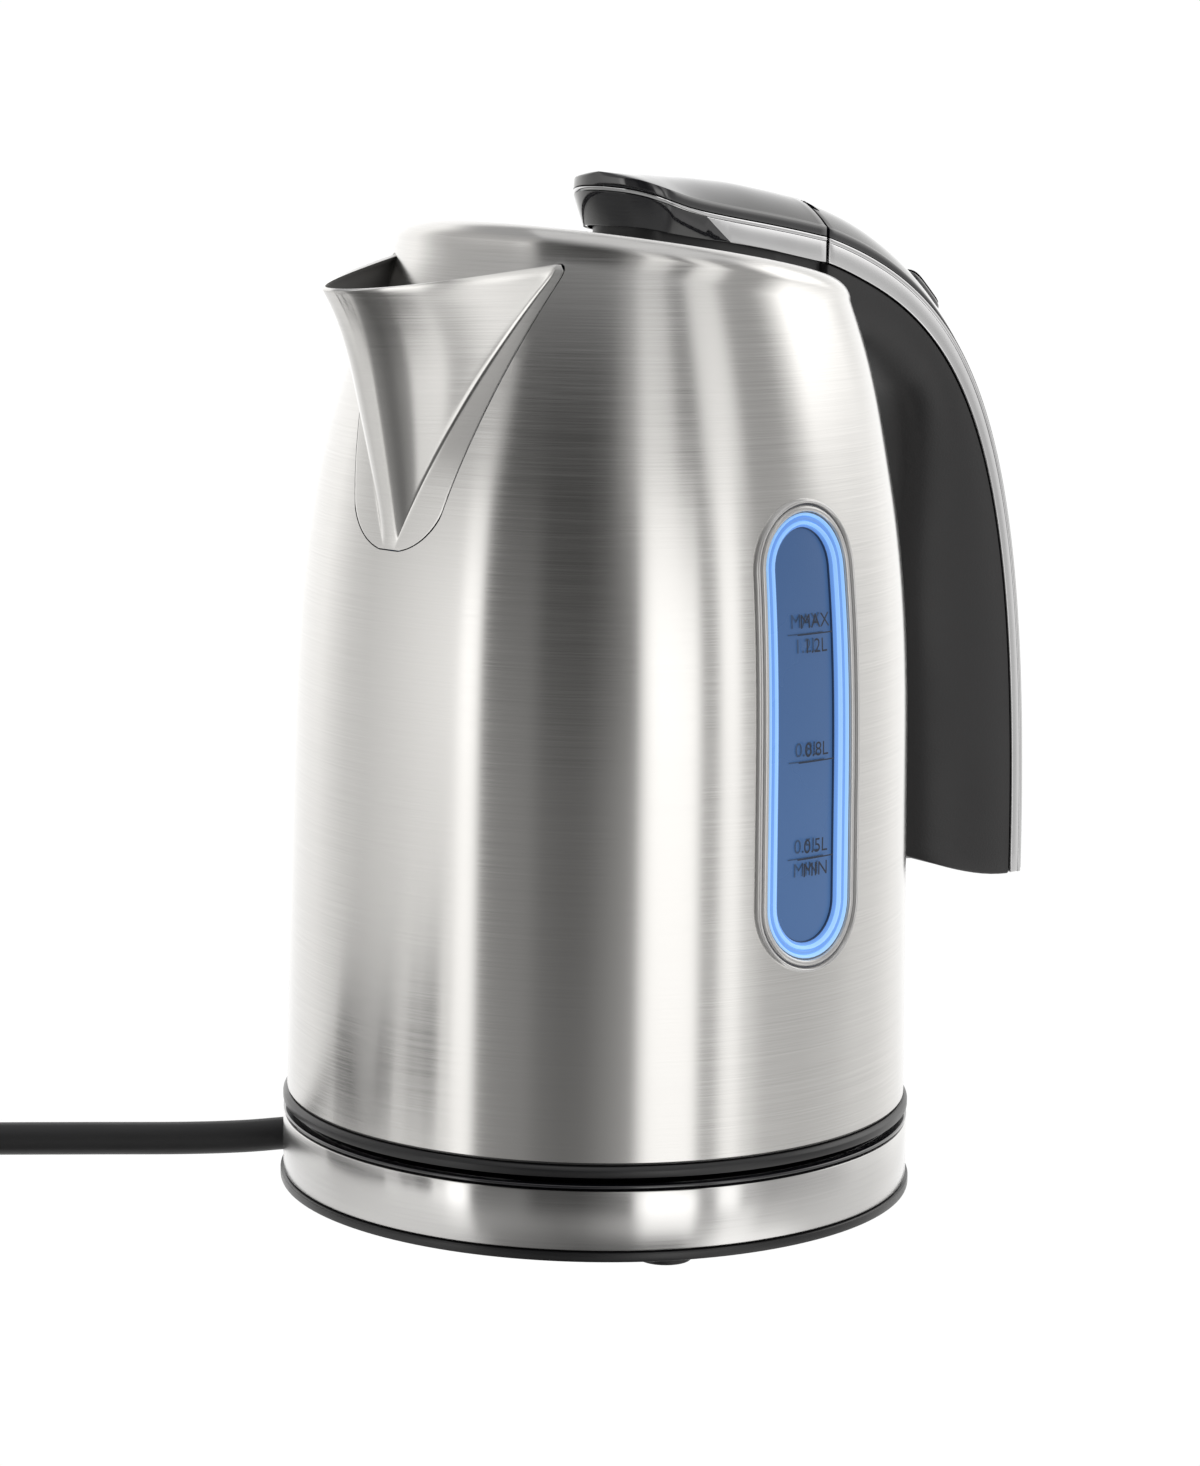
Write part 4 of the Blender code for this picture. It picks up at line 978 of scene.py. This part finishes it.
# %% Gauge marks
# (text, height of its middle) and the heights of the level lines: the litres and the two limits.
MARKS = (("MAX", 136.7), ("1.2L", 131.4), ("0.8L", 109.3), ("0.5L", 88.5), ("MIN", 83.4))
LINES = (134.1, 106.9, 86.0)
MARK_SIZE = 4.3
LINE_REACH, LINE_HALF_WIDTH = 5.4, 0.14
# The print, and the fainter shadow that it throws on the channel behind: (name, depth, shift, ink).
PRINTS = (("", -0.6, 2.1, INK), ("_ghost", -1.5, 0.1, GHOST_INK))


def mark_mesh(text, middle, depth, shift):
    """Letters made flat, turned into a mesh, and wrapped on the gauge at a depth."""
    words = bpy.data.curves.new("mark", "FONT")
    words.body = text
    words.size = MARK_SIZE
    words.align_x = "CENTER"
    words.align_y = "CENTER"
    obj = new_object("mark", words)
    bm = bmesh.new()
    bm.from_mesh(as_mesh(obj))
    bpy.data.objects.remove(obj, do_unlink=True)
    return reshaped(bm, lambda x, y, z: on_body(depth, x + shift, middle + y))


def line_mesh(height, depth, shift):
    def rule(u, v):
        return on_body(depth, blend(-LINE_REACH, LINE_REACH, u) + shift,
                       height + blend(-LINE_HALF_WIDTH, LINE_HALF_WIDTH, v))
    return formed(12, 1, rule)


def gauge_marks():
    for suffix, depth, shift, ink in PRINTS:
        marks = [(f"mark_{k + 1}", mark_mesh(text, middle, depth, shift))
                 for k, (text, middle) in enumerate(MARKS)]
        lines = [(f"line_{k + 1}", line_mesh(height, depth, shift)) for k, height in enumerate(LINES)]
        for name, bm in marks + lines:
            piece(f"gauge_{name}{suffix}", bm, "jug", ink, "matte_black")


gauge_marks()

# %% [markdown]
# ## The power base and the jug's foot
# The base is a black tray inside a brushed steel band, closed by a gloss cover. The jug's own foot is a
# black ring that hides the heater. All of them are round, so each is one turned outline with its corners
# rounded by a small bevel. The band and the tray are notched where the lead comes out.

# %% Base
BAND_R = 70.95
RIM_R = 71.6
LIP_R = 71.0
NOTCH_HALF = (CORD_D + 4.2) / 2


def notch_tool():
    start = Vector((CORD_EXIT[0], CORD_EXIT[1], 0)) - heading * 32
    bm = box((0, 46), (-NOTCH_HALF, NOTCH_HALF), (-2, 10.6), 2.5)
    return add_mesh("notch", moved(bm, Matrix.Translation(start) @ Matrix.Rotation(CORD_HEADING, 4, "Z")))


def rounded_ring(outline, width=0.25, steps=SMOOTH):
    return softened(turned(outline, steps), width, 40, 2)


band = add_mesh("steel_band", rounded_ring([(69.7, 4.3), (BAND_R, 4.3), (BAND_R, 17.4), (69.7, 17.4)], 0.3))
carve(band, [notch_tool()])
finished(band, "base", BAND_STEEL, "brushed_steel", "base_band", smooth=40)
tray = add_mesh("base_tray", rounded_ring([
    (0, 3.6), (16, 3.6), (18, 2.06), (RIM_R, 2.06), (RIM_R, 4.0), (69.3, 4.0), (69.3, 14.6), (67.3, 14.6),
    (66.3, 4.6), (0, 4.6)]))
carve(tray, [notch_tool()])
finished(tray, "base", BLACK, "matte_black", "base_bottom", smooth=40)
piece("base_top_cover", rounded_ring([
    (18.3, 15.6), (66, 15.6), (67.5, 15.0), (69.3, 15.0), (69.3, 17.75), (LIP_R, 17.9), (LIP_R - 0.1, 18.6),
    (68.6, 18.6), (67.6, 17.4), (66.4, 17.2), (64, 18.0), (30, 18.0), (28, 17.0), (18.3, 17.0)]),
    "base", GLOSS, "gloss_black", "base_cover", smooth=40)
piece("base_dock", rounded_ring([
    (4.0, 6.0), (16.5, 6.0), (16.5, 12.5), (17.9, 12.5), (17.9, 29.6), (12.6, 29.6), (12.6, 20.0),
    (8.4, 20.0), (8.4, 29.6), (4.0, 29.6)], 0.5, 96), "base", BLACK, "matte_black", "base_socket", smooth=40)
piece("dock_core", rounded_ring([(0, 6.2), (3.6, 6.2), (3.6, 32.4), (0, 32.4)], 0.6, 64), "socket_core",
      BRASS, "brass", "socket_core", smooth=40)
piece("jug_foot_ring", rounded_ring([
    (66.5, 20.3), (LIP_R, 20.3), (LIP_R, 21.8), (70.3, 22.6), (68.4, 22.6), (68.4, 26.0), (66.5, 26.0)], 0.2),
    "jug", BLACK, "matte_black", "bottom_ring", smooth=40)
for k in range(4):
    low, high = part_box(f"foot_{k + 1}")
    at = ((low[0] + high[0]) / 2 / MM - AXIS_X / MM, (low[1] + high[1]) / 2 / MM)
    pad = softened(turned([(0, 0), (5.9, 0), (5.9, 1.78), (0, 1.78)], 48), 0.35, 40, 3)
    piece(f"rubber_foot_{k + 1}", moved(pad, Matrix.Translation((*at, 0))), "base", RUBBER, "black_rubber",
          f"foot_{k + 1}", smooth=40)
RELIEF_LENGTH = 26.0
relief_start = Vector(CORD_EXIT) - heading * 27 + Vector((0, 0, 0.6))
relief_end = Vector(CORD_EXIT) - heading * 0.7 + Vector((0, 0, 0.3))
relief_ribs = [(blend(5.2, 4.5, k / 12) * (1.0 if k % 2 else 0.9), RELIEF_LENGTH * k / 12) for k in range(13)]
relief_bm = turned([(0, 0)] + relief_ribs + [(0, RELIEF_LENGTH)], 48)
piece("lead_relief", moved(relief_bm, stood_at(relief_start, relief_end - relief_start)), "base", RUBBER,
      "black_rubber", "strain_relief", smooth=40)

# %% [markdown]
# ## The collar and the lid plates
# Inside the rim sits a black collar. A steel plate with a rolled edge closes it, and a plug with a soft seal
# hangs under the plate. They are turned flat and then tipped by the same lean as the rim.

# %% Lid plates
def rim_piece(name, outline, width, body, material, slot, *replaced):
    bm = reshaped(rounded_ring(outline, width), rim_leaned)
    piece(name, bm, body, material, slot, *replaced, smooth=40)


rim_piece("rim_collar", [(41.9, 199.0), (43.2, 199.0), (44.8, 202.6), (44.8, 209.6), (43.3, 209.6),
                         (43.3, 207.2), (41.9, 206.8)], 0.25, "jug", BLACK, "matte_black", "top_collar")
rim_piece("lid_disc", [(0, 208.0), (42.0, 208.0), (42.7, 208.5), (42.6, 209.3), (41.9, 209.7), (40.5, 209.5),
                       (39.0, 209.1), (0, 209.3)], 0.2, "lid", INNER_STEEL, "brushed_steel", "lid_plate")
rim_piece("lid_drum", [(0, 198.4), (36.5, 198.4), (38.9, 199.4), (39.4, 202.6), (38.4, 203.0), (38.4, 206.2),
                       (39.4, 206.6), (39.4, 207.6), (0, 207.6)], 0.3, "lid", BLACK, "matte_black",
          "lid_plug")
rim_piece("lid_seal", [(38.9, 203.4), (40.2, 203.2), (41.2, 204.2), (40.2, 205.2), (38.9, 205.6)], 0.15,
          "lid", SILICONE, "grey_silicone", "lid_gasket")
for k, y in ((1, 20), (2, -20)):
    head = turned([(0, 196.8), (2.0, 196.8), (2.6, 197.3), (2.6, 198.1), (0, 198.1)], 32)
    softened(head, 0.1, 40, 2)
    piece(f"lid_plate_screw_{k}", reshaped(moved(head, Matrix.Translation((0, y, 0))), rim_leaned), "lid",
          INNER_STEEL, "brushed_steel", f"lid_screw_{k}")

# %% [markdown]
# ## The lid's tongue
# A long tongue carries the lid's hinge. From the top down it has a crowned gloss cover with a flat band round
# its foot, then a thin bright line, a chrome side, and a dark skirt down to the lid plate. The front of the
# chrome
# side is gloss black instead: a painted dark reflection. Each is a row of cross-sections along the tongue, so
# one helper lofts them all, and small bevels give every edge a highlight.

# %% Tongue tables
HALF_WIDTH = 14.5
SPLIT_X = 58.2
HINGE_Z = 220.2
TIP_X = -3.0
NOSE = 10.0
SPLIT_GAP = 0.55
TONGUE_TOP = ((TIP_X, 226.2), (1.6, 223.9), (8.7, 221.7), (15.4, 220.3), (25.6, 218.7), (38.0, 216.9),
              (50.0, 215.0), (58.6, 213.4))
TONGUE_FOOT = ((TIP_X, 217.2), (14.5, 214.5), (27.4, 213.0), (41.4, 210.8), (58.6, 207.7))
CROWN = ((TIP_X, 0.2), (3.0, 2.6), (10.0, 4.4), (23.0, 5.8), (36.0, 6.6), (58.6, 6.6))
CROWN_POWER = 2.2
BAND_H = 2.6
SKIRT_LOW = 210.3
# The side walls lean in towards their foot by this share of their height, less and less along the run.
UNDERCUT = 0.36
UNDERCUT_RUN = 34.0
COVER_HALF = 14.3


def lofted(rings):
    """Joins closed rows of points, which all have the same count, into one solid's skin."""
    rings = [ring + ring[:1] for ring in rings]
    rows, columns = len(rings) - 1, len(rings[0]) - 1
    bm = formed(columns, rows, lambda u, v: rings[round(v * rows)][round(u * columns)])
    bmesh.ops.holes_fill(bm, edges=[e for e in bm.edges if e.is_boundary], sides=0)
    bmesh.ops.recalc_face_normals(bm, faces=bm.faces)
    return bm


def undercut_at(x):
    return UNDERCUT * (1 - smooth_step((x - TIP_X) / UNDERCUT_RUN))


def tongue_half(x, half, tip=TIP_X):
    """Half the tongue's width at a station: full, or following the round nose."""
    back = TIP_X + NOSE
    if x >= back:
        return half
    return half * sqrt(max(1 - ((back - x) / (back - tip)) ** 2, 0.002))


def tongue_rows(tip=TIP_X):
    """Where the tongue's cross-sections stand: close together round its nose, then evenly to the split."""
    back, end = TIP_X + NOSE, SPLIT_X - SPLIT_GAP
    nose = [back - (back - tip) * cos(pi / 2 * k / 16) for k in range(16)]
    return nose + [blend(back, end, k / 24) for k in range(25)]


def crown_section(half, band, crown, steps=24):
    """(sideways, up) points: a band with a bevelled upper edge, and a crown set in a little way."""
    round_off = min(0.5, half * 0.3)
    side = [(-half, 0.25), (-half, band - round_off), (-half + round_off * 0.35, band - round_off * 0.3),
            (-half + round_off, band)]
    inner = half - round_off
    shares = [sin(pi / 2 * (2 * k / steps - 1)) for k in range(1, steps)]
    top = [(inner * share, band + crown * (1 - abs(share) ** CROWN_POWER)) for share in shares]
    return side + top + [(-y, n) for y, n in reversed(side)]


def tongue_cover():
    rings = []
    for x in tongue_rows():
        base = eased(TONGUE_TOP, x) + 0.05
        section = crown_section(tongue_half(x, COVER_HALF), BAND_H, eased(CROWN, x))
        rings.append([(x, y, base + n) for y, n in section])
    bm = softened(lofted(rings), 0.18, 50, 2)
    knuckle_z = HINGE_Z - 0.5
    knuckles = [rod(1.9, (SPLIT_X, s * 3.0, knuckle_z), (SPLIT_X, s * 6.6, knuckle_z)) for s in (-1, 1)]
    cover = add_mesh("lid_tongue_cover", bm)
    carve(cover, [add_mesh("knuckle", k) for k in knuckles], "UNION")
    return finished(cover, "lid", GLOSS, "gloss_black", "lid_cover", smooth=40)


def trim_walls(inset, thickness, low, high):
    """An upright wall round the tongue's plan, as cross-sections from one split end to the other."""
    half = tongue_rows(tip=TIP_X + inset)
    plan = [(x, -tongue_half(x, HALF_WIDTH - inset, TIP_X + inset)) for x in reversed(half)]
    plan += [(x, -y) for x, y in reversed(plan[:-1])]
    rings = []
    for i, (x, y) in enumerate(plan):
        x0, y0 = plan[max(i - 1, 0)]
        x1, y1 = plan[min(i + 1, len(plan) - 1)]
        across = Vector((-(y1 - y0), x1 - x0)).normalized()
        if across.x * (x - 20) + across.y * y > 0:
            across = -across
        ix, iy = x + across.x * thickness, y + across.y * thickness
        lean = undercut_at(x) * (high(x) - low(x))
        sx, sy = across.x * lean, across.y * lean
        rings.append([(x + sx, y + sy, low(x)), (x, y, high(x)), (ix, iy, high(ix)),
                      (ix + sx, iy + sy, low(x))])
    return softened(lofted(rings), 0.15, 50, 2)


tongue_cover()
piece("tongue_bright_line", trim_walls(0.0, 0.9, lambda x: eased(TONGUE_TOP, x) - 0.85,
                                       lambda x: eased(TONGUE_TOP, x) + 0.02),
      "lid", BRIGHT_TRIM, "bright_trim", "lid_trim", smooth=50)


def side_wall():
    return trim_walls(0.12, 1.1, lambda x: eased(TONGUE_FOOT, x), lambda x: eased(TONGUE_TOP, x) - 0.9)


def slanted_block(shift):
    """Everything ahead of a slanted plane, which parts the gloss black front (a painted dark reflection) from
    the chrome side.
    """
    foot, top = 31 + shift, 10 + shift
    side = [(-10, 200), (foot, 207), (foot, 209), (top, 224), (top, 235), (-10, 235)]
    bm = lofted([[(x, y, z) for x, z in side] for y in (-20, 20)])
    return add_mesh("dark_reflection_block", bm)


# The chrome side's front is gloss black, a painted dark reflection; behind the slanted plane it stays chrome.
nose = add_mesh("tongue_painted_dark_reflection", side_wall())
carve(nose, [slanted_block(0.0)], "INTERSECT")
finished(nose, "lid", GLOSS, "gloss_black", smooth=50)
chrome = add_mesh("tongue_chrome_side", side_wall())
carve(chrome, [slanted_block(0.1)])
finished(chrome, "lid", TRIM, "bright_trim", smooth=50)

# %% Tongue skirt
SKIRT_TIP = TIP_X + 5.0
SKIRT_HALF = 12.4


def skirt_ring(x, low, high):
    clear = 12.9 - undercut_at(x) * 9.2
    half = tongue_half(x, min(SKIRT_HALF, clear), SKIRT_TIP)
    return [(x, -half, low), (x, -half, high), (x, half, high), (x, half, low)]


skirt_rows = [x for x in tongue_rows(tip=SKIRT_TIP) if x > SKIRT_TIP]
skirt = lofted([skirt_ring(x, SKIRT_LOW - LEAN_SLOPE * x + (2.6 if x > 44 else 0.0),
                           eased(TONGUE_TOP, x) - 0.5) for x in skirt_rows])
piece("tongue_skirt", softened(skirt, 0.4, 50, 2), "lid", BLACK, "matte_black", "lid_bridge", smooth=40)
pin = rod(1.0, (SPLIT_X, -6.8, HINGE_Z), (SPLIT_X, 6.8, HINGE_Z))
piece("lid_hinge_pin", softened(pin, 0.2, 50, 2), "jug", NICKEL, "brushed_steel", "hinge_pin")

# %% [markdown]
# ## The handle
# The handle carries the tongue's lines on, then bends down and ends free. Its spine is one curve in the
# jug's upright mid-plane, and each station along it gets a cross-section square to the spine. The gloss
# cover, the two chrome sides and the grip are lofted from those sections, with a shadow gap between them.

# %% Handle spine
SPINE = ((58.6, 213.4), (110.0, 199.5), (136.5, 170.0), (137.0, 55.0))
HANDLE_STEPS = 72
SHADOW_GAP = 0.3


def spine_point(t):
    p = [Vector(q) for q in SPINE]
    return p[0] * (1 - t) ** 3 + p[1] * 3 * t * (1 - t) ** 2 + p[2] * 3 * t * t * (1 - t) + p[3] * t ** 3


def spine_normal(t):
    p = [Vector(q) for q in SPINE]
    way = (p[1] - p[0]) * (1 - t) ** 2 + (p[2] - p[1]) * 2 * t * (1 - t) + (p[3] - p[2]) * t * t
    way.normalize()
    return Vector((0, 1)).lerp(Vector((-way.y, way.x)), smooth_step(t / 0.14)).normalized()


def handle_ring(t, section):
    at, out = spine_point(t), spine_normal(t)
    return [(at.x + out.x * n, y, at.y + out.y * n) for y, n in section]


def stations(start=0.0, end=1.0):
    return [blend(start, end, k / HANDLE_STEPS) for k in range(HANDLE_STEPS + 1)]


def trim_depth(t):
    return blend(5.6, 3.8, smooth_step(t / 0.8))


def cover_section(t):
    band = blend(2.6, 0.45, smooth_step(t / 0.5))
    crown = blend(6.6, 4.9, smooth_step((t - 0.3) / 0.7))
    outer = crown_section(COVER_HALF, max(band, 0.75), crown)
    inner = [(y * 0.86, max(n - 1.3, 0.26)) for y, n in reversed(outer[1:-1])]
    return outer + [(12.2, 0.25)] + inner + [(-12.2, 0.25)]


def grip_section(t):
    """The grip: a neck between the chrome sides, then full sides and a rounded inner face."""
    trim = trim_depth(t) + SHADOW_GAP
    depth = blend(27.0, 17.5, smooth_step(t / 0.24)) + 14.5 * smooth_step((t - 0.36) / 0.42)
    steps = 14
    lower = [(14.15 * cos(pi / 2 * k / steps) ** 0.8, -trim - (depth - trim) * sin(pi / 2 * k / steps))
             for k in range(steps)]
    right = [(12.6, -0.1), (12.6, -trim), (13.85, -trim)] + [(lower[0][0], -trim - 0.35)] + lower[1:]
    return right + [(0.0, -depth)] + [(-y, n) for y, n in reversed(right)]


def raised_end(bm):
    """Lifts the inner side of the handle's free end, near the foot of the grip."""
    def rule(x, y, z):
        share = smooth_step((75 - z) / 18)
        return x, y, z + 0.0068 * max(0.0, SPINE[3][0] - x) ** 2 * share
    return reshaped(bm, rule)


def body_solid(offset):
    """The jug's outside form as a plain solid, for cutting pieces that follow it."""
    wall = [(body_radius(z) + offset, z) for z in [blend(150, LIP_Z, k / 24) for k in range(25)]]
    return reshaped(turned([(0, 150)] + wall + [(wall[-1][0] - 4, RIM_Z + 0.6), (0, RIM_Z + 0.6)]), leaned)


def handle_grip():
    bm = raised_end(softened(lofted([handle_ring(t, grip_section(t)) for t in stations()]), 0.6, 62, 3))
    grip = add_mesh("grip_shell", bm)
    carve(grip, [add_mesh("clearance", body_solid(0.35))])
    return finished(grip, "jug", CHARCOAL, "matte_black", "handle_grip", smooth=40)


BUTTON_AT = 0.318


def button_frame():
    """The button's own frame: n outwards, s along the handle, y sideways."""
    at, out = spine_point(BUTTON_AT), spine_normal(BUTTON_AT)
    return Matrix(((out.y, 0, out.x, at.x), (0, 1, 0, 0), (-out.x, 0, out.y, at.y), (0, 0, 0, 1)))


def rounded_block(length, width, n0, n1, bevel=0.0, dome=0.0):
    """A rounded rectangle pulled outwards, in the button's frame."""
    steps = 64
    outline = []
    for k in range(steps):
        c, s = cos(2 * pi * k / steps), sin(2 * pi * k / steps)
        outline.append((abs(c) ** 0.45 * (1 if c > 0 else -1) * length / 2,
                        abs(s) ** 0.45 * (1 if s > 0 else -1) * width / 2))
    bm = extruded([(s, y, n0) for s, y in outline], (0, 0, n1 - n0))
    if bevel:
        softened(bm, bevel, 50, 4)
    if dome:
        top = [f for f in bm.faces if f.normal.z > 0.9]
        bmesh.ops.inset_region(bm, faces=top, thickness=length * 0.16)
        for f in top:
            bmesh.ops.translate(bm, verts=list(f.verts), vec=(0, 0, dome))
    return moved(bm, button_frame())


def handle_cover():
    rings = [handle_ring(t, cover_section(t)) for t in stations(0.001, 0.997)]
    cover = add_mesh("handle_gloss_cover", softened(lofted(rings), 0.25, 50, 2))
    relief = rod(3.2, (SPLIT_X, -9.1, HINGE_Z), (SPLIT_X, 9.1, HINGE_Z))
    carve(cover, [add_mesh("knuckle_relief", relief),
                  add_mesh("button_opening", rounded_block(15.8, 13.2, 2.0, 16.0))])
    return finished(cover, "jug", GLOSS, "gloss_black", "handle_cover", smooth=40)


handle_grip()
handle_cover()
button_bm = rounded_block(15.0, 12.4, 4.4, 8.7, 0.8, 0.2)
piece("lid_push_button", button_bm, "lid_button", GLOSS, "gloss_black", "lid_button", smooth=40)


def side_strip(side, low, high, outer, end):
    """A strip along one side of the handle, between two depths below the spine."""
    inner, outer = side * 13.0, side * outer
    return lofted([handle_ring(t, [(inner, low(t)), (outer, low(t)), (outer, high), (inner, high)])
                   for t in stations(0, end)])


for name, side in (("left", -1), ("right", 1)):
    chrome_bm = side_strip(side, lambda t: -trim_depth(t), -1.0, HALF_WIDTH, 0.999)
    piece(f"handle_chrome_{name}", softened(chrome_bm, 0.22, 50, 2), "jug", TRIM, "bright_trim",
          f"handle_trim_{name}", smooth=50)
    line_bm = side_strip(side, lambda t: -0.95, 0.05, HALF_WIDTH + 0.02, 0.9995)
    piece(f"handle_bright_line_{name}", softened(line_bm, 0.18, 50, 2), "jug", BRIGHT_TRIM, "bright_trim",
          smooth=50)

# %% [markdown]
# ## The power switch and the parts inside
# The switch is a lever at the foot of the jug, under the handle. Parts that are hidden in use, such as the
# heater and the control, keep their plain CAD solids and take a finish that suits each.

# %% Power switch
def switch_lever():
    side = [(60.6, 28.2), (60.6, 32.8), (66.0, 32.9), (72.5, 32.5), (77.0, 31.2), (80.3, 29.5), (80.7, 28.4),
            (80.0, 27.7), (76.0, 28.1), (72.5, 28.7), (66.0, 28.5)]
    rows = [blend(-8.4, 8.4, k / 12) for k in range(13)]
    bm = softened(lofted([[(x, y, z) for x, z in side] for y in rows]), 0.5, 55, 3)
    lever = add_mesh("switch_lever", bm)
    bore = rod(1.3, (63, -9.5, 30.5), (63, 9.5, 30.5), steps=24)
    rib_places = ((71.5, 32.0), (73.6, 31.7), (75.7, 31.1))
    ribs = [box((x, x + 0.9), (-6.2, 6.2), (z, z + 1.0)) for x, z in rib_places]
    carve(lever, [add_mesh("bore", bore)] + [add_mesh("rib", r) for r in ribs])
    return finished(lever, "power_switch", BLACK, "matte_black", "power_switch", smooth=40)


switch_lever()

# %% Finishes of the CAD pieces that stay
KEPT = ((INNER_STEEL, ("spout_strainer", "vessel_floor", "heating_element", "control_unit", "handle_bracket",
                       "handle_screw_1", "handle_screw_2", "button_spring", "switch_spindle", "bimetal_disc",
                       "base_screw_1", "base_screw_2")),
        (ALUMINIUM, ("diffuser",)), (BRASS, ("contact_ring",)),
        (BLACK, ("steam_tube", "underside_cover", "jug_connector", "cord_clamp", "lid_latch")),
        (PANEL, ("led_board",)))
for material, names in KEPT:
    for name in names:
        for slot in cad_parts[name].material_slots:
            slot.material = material
